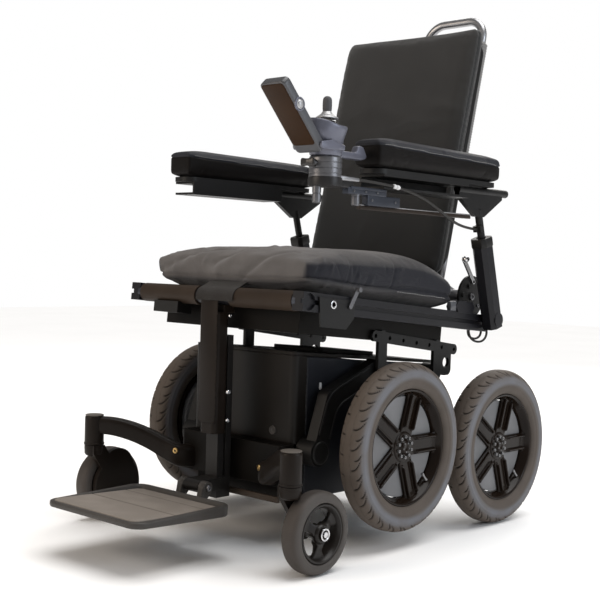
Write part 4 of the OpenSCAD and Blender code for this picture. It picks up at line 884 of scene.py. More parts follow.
def caster_wheel_shape():
    """Caster wheel: a stepped ring, a boss and three broad spokes whose gaps are the openings seen through
    it."""
    ring = turned([(-17, 50), (-17, 56.8), (17, 56.8), (18.6, 55.2), (18.6, 52), (16.4, 50), (12, 47.4),
                   (6, 45.5), (-12, 45.5)], 110, closed=True)
    boss = turned([(-21, 6.4), (-21, 11), (-19, 12), (0, 13), (8, 19.5), (14, 20.4), (18, 18.6), (20.6, 16.6),
                   (21, 15), (21, 6.4)], 60, closed=True)
    r = np.linspace(12, 52, 26)[:, None]
    v = np.sin(np.linspace(-np.pi / 2, np.pi / 2, 51))[None, :]
    half = 9.5 + 10.5 * smooth_step((r - 30) / 22) + 4 * smooth_step((24 - r) / 8)
    top = 15.5 - 5.5 * smooth_step((r - 18) / 20) + 2.5 * smooth_step((r - 42) / 10)
    x = 3 + (top - 3) * (1 - np.abs(v) ** 10) ** 0.45
    spoke = capped(np.stack([x, v * half, np.broadcast_to(r, x.shape)], -1))
    return joined(ring, boss, *[round_x(spoke, TURN * (i / 3 + 0.5)) for i in range(3)])


def axle_end():
    """Caster axle's end: a bright ring with a six-sided bolt head standing in it."""
    ring = turned([(0, 8.4), (0, 12.4), (1.4, 12.2), (2.0, 11.4), (2.0, 9.6), (1.4, 8.6)], 48, closed=True)
    a = np.linspace(0, TURN, 6, endpoint=False)
    head = placed(plate(6.2 * np.stack([np.cos(a), np.sin(a)], -1), 0, 3.0, 0.7), side_on)
    return joined(ring, head)


CASTER_TYRE, CASTER_SHARE = caster_tyre_surface()
CASTER_WHEEL = caster_wheel_shape()
AXLE_END = axle_end()
for side, way in SIDES:
    spot = np.array(CASTER_AXLE) * [way, 1, 1]
    rubber = add_piece(f"{side}_caster_rubber", set_at(CASTER_TYRE, way, spot), f"caster_wheel_{side}",
                       caster_rubber,
                       f"caster_tyre_{side}", sharp=60)
    paint_share(rubber, "tread_share", CASTER_SHARE)
    add_piece(f"{side}_caster_spokes", set_at(CASTER_WHEEL, way, spot), f"caster_wheel_{side}", caster_black,
              f"caster_hub_{side}")
    add_piece(f"{side}_caster_axle_end", set_at(AXLE_END, way, [way * 336.2, *CASTER_AXLE[1:]]),
              f"caster_{side}", bright_steel)
    lid = [(0, 1), (0, 19.4), (1.0, 20.2), (2.0, 19.8), (2.6, 18.4), (2.4, 14), (2.9, 12.5), (2.9, 1)]
    add_piece(f"{side}_stem_lid", shifted(upright(turned(lid, 60)), way * STEM_X, STEM_Y, 234.2), "chassis",
              lid_brown)
    stub = [(146, 6), (146, 14), (148.4, 18.4), (152, 20.4), (161.5, 20.8), (161.5, 6)]
    add_piece(f"{side}_fork_stub", shifted(upright(turned(stub, 56)), way * STEM_X, STEM_Y, 0),
              f"caster_{side}", arm_brown)
    band = [(0, 20), (0, 21.9), (1.0, 22.3), (3.0, 22.3), (4.0, 21.9), (4.0, 20)]
    add_piece(f"{side}_stem_band", shifted(upright(turned(band, 60, closed=True)), way * STEM_X, STEM_Y,
                                           171.5), "chassis", arm_brown)


def caster_arm_shape():
    """Left caster arm: a rounded section swept along an arching line from the bumper to an upright barrel."""
    line = [(STEM_X, STEM_Y, 214), (262, -292, 212), (228, -267, 203), (194, -244, 188), (160, -225, 170),
            (132, -211, 158), (122, -186, 156)]
    path = smooth_path(line, 48)
    ahead = unit(np.gradient(path, axis=0) * [1, 1, 0])
    across = np.stack([-ahead[:, 1], ahead[:, 0], np.zeros(len(path))], -1)
    a = np.linspace(0, TURN, 40, endpoint=False)
    share = np.linspace(0, 1, len(path))[:, None, None]
    wide, tall = 15.5 + 3.5 * share, 18.5 + 6.5 * share
    flat = signed_power(np.cos(a), 0.55)[None, :, None] * across[:, None] * wide
    rise = signed_power(np.sin(a), 0.55)[None, :, None] * np.array([0, 0, 1.0]) * tall
    barrel = [(170.4, 11.5), (170.4, 20.0), (171.4, 21), (229, 21), (232.6, 20.2), (234.2, 18.6),
              (234.2, 11.5)]
    return joined(capped(path[:, None] + flat + rise), shifted(upright(turned(barrel, 64, closed=True)),
            STEM_X, STEM_Y, 0))


CASTER_ARM = caster_arm_shape()
add_piece("caster_arm_castings", joined(CASTER_ARM, mirrored(CASTER_ARM)), "chassis", arm_brown,
          "caster_arms")


# Cushions

def pillow_points(run, w, h0, h1, crown, sag, edge=0.42, ends=(5.0, 5.0), draw=0.1, taper=(0.62, 0.62)):
    """Pad as rings of superellipses along its length: ends draw in on a power curve, the height runs from
    front to rear and sags there, the top crowns."""
    rings = sides = 120
    t = ((1 - np.cos(np.linspace(0.03, np.pi - 0.03, rings))) / 2)[:, None]
    power = np.where(t < 0.5, *ends)
    e = (1 - np.abs(2 * t - 1) ** power) ** (1 / power)
    half = w / 2 * (1 - np.where(t < 0.5, draw, 0.1) * (1 - e) - 0.02 * np.sin(np.pi * t))
    fall = np.maximum(0, (t - 0.62) / 0.38)
    h = h0 + (h1 - h0) * t - sag * fall ** 2
    a = np.linspace(0, TURN, sides, endpoint=False)[None, :]
    c, s = signed_power(np.cos(a), edge), signed_power(np.sin(a), edge)
    lift = np.where(s > 0, crown * s * e * (1 - c * c), 0)
    return np.stack([half * c, np.broadcast_to(run * t, (rings, sides)),
                     h / 2 * (1 + s * (1 - np.where(t < 0.5, *taper) * (1 - e))) + lift], -1)


def swell(piece, voxel, cap, pressure=4.0):
    """Pads a piece out: even small faces, cloth under pressure without weight, each point's move held to a
    cap, one subdivision."""
    bpy.context.view_layer.objects.active = piece
    remesh = piece.modifiers.new("even_faces", "REMESH")
    remesh.mode = "VOXEL"
    remesh.voxel_size = voxel
    bpy.ops.object.modifier_apply(modifier=remesh.name)
    before = np.zeros(len(piece.data.vertices) * 3, np.float32)
    piece.data.vertices.foreach_get("co", before)
    cloth = piece.modifiers.new("padding", "CLOTH")
    cloth.settings.use_pressure = True
    cloth.settings.uniform_pressure_force = pressure
    cloth.settings.effector_weights.gravity = 0.0
    cloth.settings.quality = 4
    for step in range(1, 21):
        scene.frame_set(step)
    bpy.ops.object.modifier_apply(modifier=cloth.name)
    scene.frame_set(1)
    after = np.zeros_like(before)
    piece.data.vertices.foreach_get("co", after)
    move = (after - before).reshape(-1, 3)
    far = np.maximum(np.linalg.norm(move, axis=1, keepdims=True), 1e-9)
    held = before.reshape(-1, 3) + move / far * cap * np.tanh(far / cap)
    piece.data.vertices.foreach_set("co", held.astype(np.float32).ravel())
    fine = piece.modifiers.new("fine_faces", "SUBSURF")
    fine.levels = fine.render_levels = 1
    bpy.ops.object.modifier_apply(modifier=fine.name)
    piece.data.shade_smooth()


def points_of(piece):
    """A piece's points in millimetres and its outward directions."""
    count = len(piece.data.vertices)
    co, no = np.zeros(count * 3, np.float32), np.zeros(count * 3, np.float32)
    piece.data.vertices.foreach_get("co", co)
    piece.data.vertices.foreach_get("normal", no)
    return co.reshape(-1, 3).astype(float) / MM, no.reshape(-1, 3).astype(float)


def set_points(piece, points):
    """Puts changed points, in millimetres, back into a piece."""
    piece.data.vertices.foreach_set("co", (points * MM).astype(np.float32).ravel())
    piece.data.update()


def from_place(p, origin, angle):
    """Row frame back to a frame that was turned about X by an angle in degrees."""
    a = np.radians(angle)
    y, z = p[:, 1] - origin[0], p[:, 2] - origin[1]
    return np.stack([p[:, 0], y * np.cos(a) + z * np.sin(a), z * np.cos(a) - y * np.sin(a)], -1)


def folds(local, seed, count, low, high, reach, height, wide=(5, 11), lengths=(25, 70)):
    """Sum of soft ridges: each is a short segment at a seeded place and heading, a bell across and along."""
    draw = np.random.default_rng(seed)
    total = np.zeros(len(local))
    for _ in range(count):
        mid = draw.uniform(low, high)
        head = unit(draw.normal(size=3) * reach)
        run, bell = draw.uniform(*lengths), draw.uniform(*wide)
        gap = local - mid
        along = gap @ head
        across = np.linalg.norm(gap - along[:, None] * head, axis=1)
        total += draw.uniform(0.4, 1.0) * height * np.exp(-(along / run) ** 2 - (across / bell) ** 2)
    return total


def crease(x, v, start, end, wide):
    """Bell across a straight line drawn in two surface coordinates, fading past its two ends."""
    ahead = np.array(end, float) - start
    gap = np.stack([x, v], -1) - start
    t = np.clip(gap @ ahead / (ahead @ ahead), 0, 1)
    return np.exp(-(np.linalg.norm(gap - t[:, None] * ahead, axis=1) / wide) ** 2)


def nearest_on(points, line, axes, keep):
    """For each spot of a line drawn in two axes, the kept point of a surface nearest to it there."""
    pick = np.flatnonzero(keep)
    gap = ((line[:, None, :] - points[pick][None][..., axes]) ** 2).sum(-1)
    return points[pick[gap.argmin(1)]]


def eased(path, rounds=6):
    """A line of points with each inner point drawn to the middle of its neighbours a few times."""
    for _ in range(rounds):
        path = np.concatenate([path[:1], (path[:-2] + 2 * path[1:-1] + path[2:]) / 4, path[-1:]])
    return path


def stitches(path, radius, long, gap):
    """Sewn thread along a line: the line cut into short runs, each a slim tube with drawn-in ends."""
    run = np.concatenate([[0], np.cumsum(np.linalg.norm(np.diff(path, axis=0), axis=1))])
    starts = np.arange(0, run[-1] - long, long + gap)
    at = starts[:, None] + np.linspace(0, long, 4)[None, :]
    spots = np.stack([np.interp(at, run, path[:, k]) for k in range(3)], -1)
    thin = radius * np.array([0.35, 1.0, 1.0, 0.35])
    return joined(*[tube(s, thin, 6, side=(0.3, 0.1, 1)) for s in spots])


def seat_cushion():
    """Seat cushion: the pillow formula padded out, then lumps along its front, folds on its sides, a lower
    seam drawn in and a sewn line along each side towards the rear."""
    rings = pillow_points(482, 494, 76, 118, 5.5, 46, edge=0.46, ends=(4.2, 10.0), draw=0.2,
                          taper=(0.62, 0.3))
    piece = add_piece("seat_cushion_cover", placed(capped(rings + [0, 15, 20.4]), in_seat), "seat",
                      seat_cloth, "seat_cushion")
    swell(piece, 0.006, 0.007)
    points, out = points_of(piece)
    local = from_place(points, *SEAT_PLACE)
    x, u, n = local.T
    height = 78 + 42 * np.clip((u - 14) / 484, 0, 1)
    up = np.clip((n - 19.4) / height, 0, 1)
    move = folds(local, 7, 22, (180, 20, 45), (252, 330, 95), (0.5, 1.2, 0.9), 4.6, (4, 9), (20, 60))
    move += folds(local, 8, 16, (-252, 20, 45), (-180, 330, 95), (0.5, 1.2, 0.9), 4.6, (4, 9), (20, 60))
    move -= folds(local, 21, 16, (205, 30, 40), (252, 400, 85), (0.2, 0.7, 1.2), 3.4, (3, 6), (15, 40))
    move += folds(local, 9, 20, (-230, 2, 40), (230, 45, 95), (1, 0.3, 0.9), 5.0, (6, 13), (25, 60))
    move += folds(local, 12, 12, (-160, 15, 80), (200, 150, 120), (1.0, 0.9, 0.2), 3.8, (5, 9), (35, 80))
    move += folds(local, 10, 22, (-220, 30, 85), (220, 420, 135), (1, 1, 0.1), 2.6, (7, 15), (30, 80))
    move += 2.5 * np.sin(x / 62.0 + 1.1) * np.exp(-((u - 30) / 60) ** 2)
    front = np.exp(-(u / 120) ** 4)
    for start, end in (((-20, 158), (-205, 74)), ((168, 150), (48, 68)), ((-110, 170), (-225, 112)),
                       ((80, 165), (-40, 92))):
        move -= 5.0 * front * crease(x, u + n, start, end, 8)
        move += 3.4 * front * crease(x, u + n + 17, start, end, 13)
    move -= 5.0 * np.exp(-((x + 20) / 38) ** 2) * front * smooth_step((up - 0.6) / 0.3)
    seam = 0.30 + 0.03 * np.sin(u / 45.0) * (np.abs(x) > 200)
    move -= 5.2 * np.exp(-((up - seam) / 0.030) ** 2) * (up > 0.05)
    move += 1.6 * np.exp(-((up - seam + 0.09) / 0.06) ** 2) * (up > 0.05)
    panel = np.clip((np.abs(x) - 205) / 12, 0, 1)
    for line in (118, 262):
        move -= 2.4 * panel * np.exp(-((u - line - 0.25 * n) / 2.6) ** 2) * (up > seam)
    move *= np.clip((n - 22) / 12, 0, 1)
    set_points(piece, points + out * move[:, None])
    # The side share is the darker side panel cloth, its blue cast painted light from the side; the under part
    # is painted shade on the front band below the lower seam.
    flank = smooth_step((np.abs(out[:, 0]) - 0.30) / 0.35) * np.clip(1.5 - np.abs(out[:, 2]) * 1.6, 0, 1)
    under = 0.55 * smooth_step((seam - up) / 0.06) * smooth_step((-out[:, 1] - 0.2) / 0.3)
    paint_share(piece, "side_share", np.clip(np.maximum(flank, under), 0, 1))
    points, out = points_of(piece)
    local = from_place(points, *SEAT_PLACE)
    for name, way in SIDES:
        spots = np.stack([np.linspace(296, 470, 70), np.full(70, 45.0)], -1)
        found = nearest_on(local, spots, [1, 2], (way * local[:, 0] > 190) & (way * out[:, 0] > 0.3))
        path = eased(found, 12)
        path[:, 0] += way * 1.3
        add_piece(f"seat_band_thread_{name}", placed(stitches(path, 0.8, 7, 1.4), in_seat), "seat",
                  thread_pale)


def back_cushion():
    """Back panel: the pillow formula with flat faces and tight edges, padded out, its sides a darker band
    behind a sewn line."""
    rings = pillow_points(596, 410, 40, 40, 0, 0, edge=0.24)
    flat = np.stack([rings[..., 0], 41 - rings[..., 2], rings[..., 1] + 31], -1)
    piece = add_piece("back_cushion_cover", placed(capped(flat), in_back), "back", back_cloth, "back_cushion")
    swell(piece, 0.006, 0.005, 3.0)
    points, out = points_of(piece)
    local = from_place(points, *BACK_PLACE)
    x, n, w = local.T
    move = 1.6 * np.sin(x / 90 + 0.6) * np.sin(w / 130) * (n < 20)
    move += folds(local, 31, 14, (-190, -2, 60), (190, 8, 600), (1, 0, 1), 1.6, (14, 30),
                  (60, 140)) * (n < 14)
    move -= 2.2 * np.exp(-((n - 15) / 1.6) ** 2)
    move -= 1.8 * np.exp(-((n - 30) / 1.8) ** 2)
    set_points(piece, points + out * np.clip(move, -3, 1.4)[:, None])
    paint_share(piece, "side_share", smooth_step((n - 13) / 4))


def pad_seam(y):
    """Height of an arm pad's sewn line, a little lower towards the rear."""
    return 817.5 - 0.022 * (y + 107)


def arm_pad(side, way):
    """Arm pad: the pillow formula with firm edges, padded out, a sewn line round it, a darker lower side
    and a crowned top."""
    rings = pillow_points(432, 69, 59, 55, 0, 0, edge=0.30, ends=(8.0, 8.0))
    piece = add_piece(f"{side}_arm_pad_cover", (capped(rings + [way * ARM_X, -107, 773.4])), f"arm_{side}",
                      pad_vinyl, f"arm_pad_{side}")
    swell(piece, 0.004, 0.003)
    points, out = points_of(piece)
    x, y, z = points.T
    drop = z - pad_seam(y)
    move = -2.4 * np.exp(-(drop / 1.3) ** 2) + 1.0 * np.exp(-((drop - 3.5) / 2.2) ** 2)
    move += folds(points, 41, 16, (way * ARM_X - 34, -100, 776), (way * ARM_X + 34, 320, 812), (0.2, 1, 0.4),
                  0.9, (5, 9), (25, 60))
    set_points(piece, points + out * move[:, None])
    paint_share(piece, "side_share", smooth_step((0.6 - drop) / 1.6))
    points, out = points_of(piece)
    for flank in (1, -1):
        reach = np.linspace(-92, 308, 150)
        spots = np.stack([reach, pad_seam(reach) + 2.2], -1)
        found = nearest_on(points, spots, [1, 2], (points[:, 0] - way * ARM_X) * flank > 12)
        path = eased(found, 12) + [flank * 0.9, 0, 0.3]
        add_piece(f"{side}_pad_thread_{'outer' if flank == way else 'inner'}", stitches(path, 0.55, 4.6, 1.5),
                  f"arm_{side}", thread_pale)


seat_cushion()
back_cushion()
for side, way in SIDES:
    arm_pad(side, way)


# Footplate

def corner_round(x, y, half_x, half_y, radius):
    """A rectangle's points with those in each corner square drawn in on to a quarter circle."""
    dx, dy = np.maximum(np.abs(x) - half_x + radius, 0), np.maximum(np.abs(y) - half_y + radius, 0)
    far = np.hypot(dx, dy)
    share = np.where((dx > 0) & (dy > 0), np.maximum(dx, dy) / np.maximum(far, 1e-9), 1.0)
    return (np.sign(x) * (np.minimum(np.abs(x), half_x - radius) + dx * share),
            np.sign(y) * (np.minimum(np.abs(y), half_y - radius) + dy * share))


def foot_mat():
    """Ribbed mat: a grid with round corners, two cross grooves and a fine diamond relief, over a flat
    underside."""
    cols, rows = 230, 200
    x, y = np.meshgrid(np.linspace(-127, 127, cols), np.linspace(-112, 112, rows))
    edge = np.minimum(127 - np.abs(x), 112 - np.abs(y))
    top = 3 + 0.45 * np.sin((x + y) * 0.9) * np.sin((x - y) * 0.9)
    groove = np.exp(-((y - 72) / 1.5) ** 2) + np.exp(-((y + 13) / 1.5) ** 2)
    top = top - 2.2 * groove
    top = np.where(edge < 3.0, np.minimum(top, 3 - 2.2 * (1 - edge / 3.0) ** 2), top)
    x, y = corner_round(x, y, 127, 112, 18)
    upper = np.stack([x, y - 125, np.maximum(top, 0.5)], -1)
    lower = upper * [1, 1, 0] + [0, 0, 0.3]
    points = np.concatenate([upper.reshape(-1, 3), lower.reshape(-1, 3)])
    mat = add_piece("foot_mat_rubber", placed((points, slab_faces(rows, cols)), in_foot), "foot_plate",
                    mat_grey, "foot_mat", sharp=60)
    # Painted shade in the mat's two cross grooves.
    paint_share(mat, "groove_shade_share", np.concatenate([np.clip(groove, 0, 1).ravel(), np.zeros(rows * cols)]))


def foot_tray():
    """Footplate: rings drawn in from its outline; its rim lies low at the front and climbs along the sides to
    the rear, and two knuckles carry the hinge."""
    o = rect_outline(282, 244, 30, 0, -122, 14)
    o = o[np.linalg.norm(o - np.roll(o, 1, 0), axis=1) > 1e-6]
    normal = outward(o)
    rim = 0.8 + 10.4 * smooth_step((o[:, 1] + 186) / 74)
    flat = np.zeros(len(o))
    inset = np.array([12, 5, 1.5, 0, 0, 1.0, 3.4, 6.4, 9.2, 11.6, 12.8, 14.0])
    level = np.stack([flat - 12, flat - 12, flat - 10.8, flat - 8, rim - 3.6, rim - 1.4, rim - 0.2, rim,
                      rim - 0.5, np.maximum(rim - 2.4, 0.4), np.maximum(rim - 6, 0.3), flat + 0.2])
    rings = np.concatenate([o[None] - normal[None] * inset[:, None, None], level[..., None]], -1)
    tray = placed(capped(rings), in_foot)
    arm = [(-338, 87), (-300, 85), (-273.6, 112), (-273.6, 124), (-290, 133), (-300, 124), (-304, 103),
           (-338, 101)]
    knuckles = []
    for way in (1, -1):
        ear = plate(round_outline(arm, [3, 10, 10, 8, 8, 8, 5, 3]), 24, 39, 2.2)
        knuckles.append((side_on(ear[0], way), ear[1]))
        barrel = turned([(22.5, 5), (22.5, 11.6), (23.8, 13), (29.4, 13), (30, 12.5), (31, 12.5), (31.6, 13),
                         (39, 13), (40.3, 11.6), (40.3, 5)], 48)
        knuckles.append(shifted((barrel[0] * [way, 1, 1], barrel[1]), 0, -286, 122))
    add_piece("foot_tray_shell", joined(tray, *knuckles), "foot_plate", tray_black, "footplate", sharp=40)
    bolts = [screw(way * 40.2, -286, 122, 6.4, 4.5, way) for way in (1, -1)]
    add_piece("foot_hinge_bolts", joined(*bolts), "foot_plate", dull_steel)


foot_mat()
foot_tray()


# Joystick

STICK_X, STICK_Y, STICK_Z = ARM_X, -228, 834


def at_stick(shape):
    """An upright turned shape set on the stick's pivot."""
    return shifted(upright(shape), STICK_X, STICK_Y, STICK_Z)


def on_mount(shape):
    """A shape drawn about the stick's axis, with its own heights."""
    return shifted(shape, STICK_X, STICK_Y, 0)


bellows = [(0, 1), (-6, 4), (-6.5, 6), (0, 6.8), (8, 7), (10.6, 17.2), (12, 18.8), (13.6, 18.6),
           (14.4, 15.6), (15.2, 15.2), (15.9, 16.4), (16.7, 16.2), (17.5, 12.4), (18.6, 4), (18.8, 1)]
add_piece("stick_bellows", at_stick(turned(bellows, 48)), "boot", soft_black, "stick_boot", sharp=60)
cap = [(21.0, 5), (20.9, 11), (20.9, 21), (21.4, 22), (22.6, 22), (23.8, 21), (26, 17.5), (28.4, 14),
       (31, 11), (34, 9.2), (35, 8.4), (35.2, 1)]
add_piece("stick_cap", at_stick(turned(cap, 56)), "stick", cap_silver, "joystick_stick", sharp=50)


def stick_knob():
    """Knob as a turned barrel whose radius waves twenty times round for its grip ribs, with a domed top."""
    z = np.array([33, 33.4, 36, 40, 48, 54, 57.5, 60, 62, 63.2, 63.8, 64])
    r = np.array([4, 7.6, 8.4, 8.9, 9.0, 8.9, 8.5, 7.6, 6.0, 4.0, 2.0, 0.4])
    a = np.linspace(0, TURN, 120, endpoint=False)[None, :]
    depth = 0.45 * np.exp(-((z - 48) / 10) ** 4)[:, None]
    wave = r[:, None] - depth * (0.5 + 0.5 * np.cos(20 * a))
    rings = np.stack([wave * np.cos(a), wave * np.sin(a), np.broadcast_to(z[:, None], wave.shape)], -1)
    return capped(rings + [STICK_X, STICK_Y, STICK_Z])


add_piece("stick_knob", stick_knob(), "stick", knob_grey, "joystick_stick", sharp=70)


def pod_shape():
    """Pod: rings about the stick's axis that widen into a lip and are pushed forwards and up towards the
    display, with a bowl inside, two ears and a reach arm."""
    z = np.array([784.2, 784.4, 786, 792, 800, 808, 816, 823, 828, 831.5, 835, 838, 840, 840.4, 839.8, 838,
                  836, 835.4, 835.2])
    r = np.array([22, 28.6, 30, 30.6, 31, 31.8, 33.2, 35.2, 37.0, 38.4, 39.4, 39.6, 38.6, 36.6, 34.8, 33.4,
                  30, 20, 8.6])
    push = np.array([0, 0, 1.5, 3.5, 7, 12, 16, 17, 14, 11, 9, 8, 7, 6, 5, 4, 2, 0, 0])
    a = np.linspace(0, TURN, 96, endpoint=False)[None, :]
    reach = r[:, None] + push[:, None] * np.clip(-np.sin(a), 0, 1) ** 2
    climb = np.array([0, 0, 0, 0, 0, 1, 3, 6, 9, 11, 12, 12.5, 12.5, 12, 10, 6, 2, 0, 0])
    height = z[:, None] + climb[:, None] * np.clip(-np.sin(a), 0, 1) ** 1.5
    cup = capped(np.stack([reach * np.cos(a), reach * np.sin(a), height], -1))
    spigot = upright(turned([(766.4, 8), (766.4, 11), (767.4, 11.8), (785, 11.8), (785, 8)], 40))
    ear = placed(plate(round_outline([(-54, 793.6), (-8, 793.6), (6, 800), (6, 806.4), (-20, 812),
                                      (-54, 806.4)], [6, 4, 3, 3, 8, 6]), -2.5, 2.5, 1.4), side_on)
    ears = [shifted(ear, k * 33.9) for k in (1, -1)]
    yoke = brick((-36, -6, 794), (36, 16, 806), 4)
    arm = [(0, 784.8), (98, 784.8), (112, 789), (113, 795), (103, 811), (94, 813), (86, 811), (80, 798),
           (0, 800)]
    bar = placed(plate(round_outline(arm, [1, 6, 4, 3, 4, 5, 4, 7, 1]), -8, 8, 3.0), side_on)
    return on_mount(joined(cup, spigot, *ears, yoke, bar))


add_piece("pod_housing", pod_shape(), "joystick", stick_grey, "joystick_pod", sharp=40)

drum_rings = [(744.5, 20), (744.5, 30.6), (745.2, 31.4), (750, 31.4), (750.6, 30.4), (752, 30.4),
              (752.6, 31.4), (760, 31.4), (760.6, 30.4), (762, 30.4), (762.6, 31.4), (771, 31.4),
              (771.6, 30.4), (773, 30.4), (773.6, 31.4), (780, 31.4), (782.6, 30.9), (783.5, 29.8),
              (783.5, 19)]
add_piece("mount_drum", on_mount(upright(turned(drum_rings, 96, closed=True))), "arm_left", drum_metal,
          "stick_mount", sharp=40)
disc = upright(turned([(727, 10), (727, 31), (728.4, 32.8), (733, 33), (740, 33), (744.4, 32), (745.4, 30.6),
                       (745.4, 10)], 80))
tail = plate(rect_outline(38, 62, 6, 3, 30), 727.2, 743.8, 2.4)
screws = [shifted(upright(turned(cap_profile(2.6, 2.2), 16)), 14, y, 743.6) for y in (24, 46)]
add_piece("mount_disc", on_mount(joined(disc, tail)), "arm_left", mount_dark, "stick_mount")
posts = []
for x, y in ((0, -23), (12, 77)):
    post = [(695, 3), (695, 6.8), (696.4, 8.2), (700, 8.5), (712, 8.5), (712.6, 7.7), (714, 7.7),
            (714.6, 8.5), (726.8, 8.5), (727.4, 7), (727.4, 3)]
    posts.append(shifted(upright(turned(post, 40)), x, y, 0))
add_piece("mount_posts", on_mount(joined(*posts, *screws)), "arm_left", dull_steel, "stick_mount")
tab = placed(plate(round_outline([(13, 740), (70, 740.6), (70, 747.6), (13, 749)], [2, 2.4, 2.4, 2]), 18.4,
                   27.6, 1.6), side_on)
add_piece("mount_tab", on_mount(tab), "arm_left", aluminium, "stick_mount")
slide = brick((6, 43, 717), (22, 162, 732), 1.8)
step = brick((6, 103, 697.2), (22, 206, 718), 1.8)
lip = brick((22, 50, 726.4), (24.2, 158, 731.6), 0.9)
holes = [screw(22, y, 723, 2.4, 1.8) for y in (60, 96, 132)]
holes += [screw(22, y, 708, 2.6, 1.8) for y in (116, 190)]
add_piece("mount_slide_bars", on_mount(joined(slide, step, lip)), "arm_left", bar_blue, "stick_mount")
add_piece("mount_slide_screws", on_mount(joined(*holes)), "arm_left", dull_steel)
strip = brick((2, 92, 689.2), (12, 474, 697.4), 1.2)
edge_bead = placed(plate(rect_outline(380, 2.2, 0.9, 283, 698.2), 2.4, 12.2, 0.8), side_on)
add_piece("mount_strip", on_mount(joined(strip)), "arm_left", strip_brown, "stick_mount")
add_piece("mount_strip_edge", on_mount(edge_bead), "arm_left", aluminium, "stick_mount")


def wing_knob():
    """Clamp knob: a shaft and a waisted wing whose thickness swells at its middle and thins to its round
    tips."""
    t = np.linspace(-1, 1, 41)[:, None]
    a = np.linspace(0, TURN, 28, endpoint=False)[None, :]
    end = (1 - np.abs(t) ** 6) ** 0.35 + 0.02
    tall = (6.6 + 3.2 * t * t) * end
    deep = (4.4 - 1.6 * np.abs(t)) * end
    across = signed_power(np.cos(a), 0.7)
    rings = np.stack([np.broadcast_to(17 * t, (41, 28)), -50.6 + deep * across,
                      769.6 + tall * signed_power(np.sin(a), 0.7)], -1)
    shaft = lengthwise(turned([(-48, 3), (-48, 6.6), (-46.8, 7.4), (-25, 7.4), (-24.4, 3)], 32))
    return on_mount(joined(capped(rings), shifted(shaft, 0, 0, 769.6)))


add_piece("clamp_wing", wing_knob(), "knob", knob_dark, "clamp_knob", sharp=50)


# Display

def display_shapes():
    """Display: a slim rounded frame with a raised inner bezel and screen on the rider's side, and a brown
    back panel let into its other face."""
    slim = placed(plate(rect_outline(62, 158, 9, 0, 71, 8), -9.2, 10, 3.6), front_on)
    pin = turned([(-36, 1), (-36, 3.9), (36, 3.9), (36, 1)], 24)
    panel = placed(plate(rect_outline(55, 136, 7, 0, 79, 8), -10.4, -6, 1.4), front_on)
    bezel = placed(plate(rect_outline(48, 100, 5, 0, 92, 8), 6, 10.8, 0.8), front_on)
    return placed(joined(slim, pin), in_display), placed(panel, in_display), placed(bezel, in_display)


display_frame, display_panel, display_bezel = display_shapes()
add_piece("display_frame", display_frame, "display", frame_grey, "display_flap")
add_piece("display_back_panel", display_panel, "display", panel_brown)
add_piece("display_bezel", display_bezel, "display", gloss_black)
button = turned([(0, 2), (0, 8.9), (5.6, 8.9), (6.4, 8.2), (6.6, 7), (7.6, 6.4), (8.6, 5.0), (9.0, 3.2),
                 (9.0, 1)], 48)
hub = turned([(308.4, 9.7), (308.4, 13.2), (310.4, 12.8), (311, 11.8), (311, 10.2), (310.4, 9.7)], 48,
             closed=True)
add_piece("display_hub_ring", shifted(hub, 0, BUTTON_Y, BUTTON_Z), "display", stick_grey)
add_piece("display_side_button", shifted(button, 305, BUTTON_Y, BUTTON_Z), "button", cap_silver,
          "display_button", sharp=40)


# Small fittings

def ring_plug():
    """Front cover's plug: a raised ring round a shallow disc, facing forwards."""
    return shifted(lengthwise(turned([(0, 1), (-1.0, 4), (-1.2, 6), (-2.4, 6.8), (-3.0, 8), (-2.4, 9.2),
                                      (0.4, 9.8), (0.6, 1)], 40)), 94, -158, 235)


add_piece("cover_plug", ring_plug(), "chassis", plug_grey)
slot = placed(plate(rect_outline(7, 15, 3.2, -79, 327), 149.6, 152.2, 1.0), side_on)
add_pair("cover_latch", slot, "chassis", clip_white)
add_piece("foot_post_bolt", joined(screw(42, -240, 314, 5.4, 4.2), screw(42, -240, 470, 4.0, 3.0),
                                   screw(42, -240, 256, 4.0, 3.0)), "seat", bright_steel)
post_panel = placed(plate(rect_outline(50, 262, 9, 0, 378, 8), -259.4, -257.6, 0.8), front_on)
add_piece("foot_post_panel", post_panel, "seat", post_brown)


def arm_bolt(way):
    """Brass cap screw on a caster arm's front face, turned to face along the arm's outward normal."""
    p, f = turned(cap_profile(6.2, 5.0), 28)
    c, s = np.cos(np.radians(-110)), np.sin(np.radians(-110))
    flat = np.stack([p[:, 0] * c - p[:, 1] * s, p[:, 0] * s + p[:, 1] * c, p[:, 2]], -1)
    return (flat + [127, -227, 170]) * [way, 1, 1], f


for side, way in SIDES:
    add_piece(f"{side}_caster_arm_bolt", arm_bolt(way), "chassis", brass)


def hoop_sleeve():
    """Ribbed grip on the push hoop's left leg: a tube whose radius waves along its length, drawn in at both
    ends."""
    w = np.linspace(330, 612, 190)
    ends = smooth_step((w - 330) / 6) * smooth_step((612 - w) / 6)
    radius = 10.3 + ends * (4.6 + 0.8 * np.cos(w * TURN / 6.5))
    path = in_back(np.stack([np.full_like(w, 170), np.full_like(w, 64.4), w], -1))
    return tube(path, radius, 30)


add_piece("left_hoop_sleeve", hoop_sleeve(), "back", sleeve_pale)


def hexagon(half, radius, x, y):
    """A six-sided outline about a middle point, pressed to a half width so that it clears the lifted
    wheel."""
    a = np.linspace(0, TURN, 6, endpoint=False)
    return np.stack([x + half * np.cos(a), y + radius * np.sin(a)], -1)


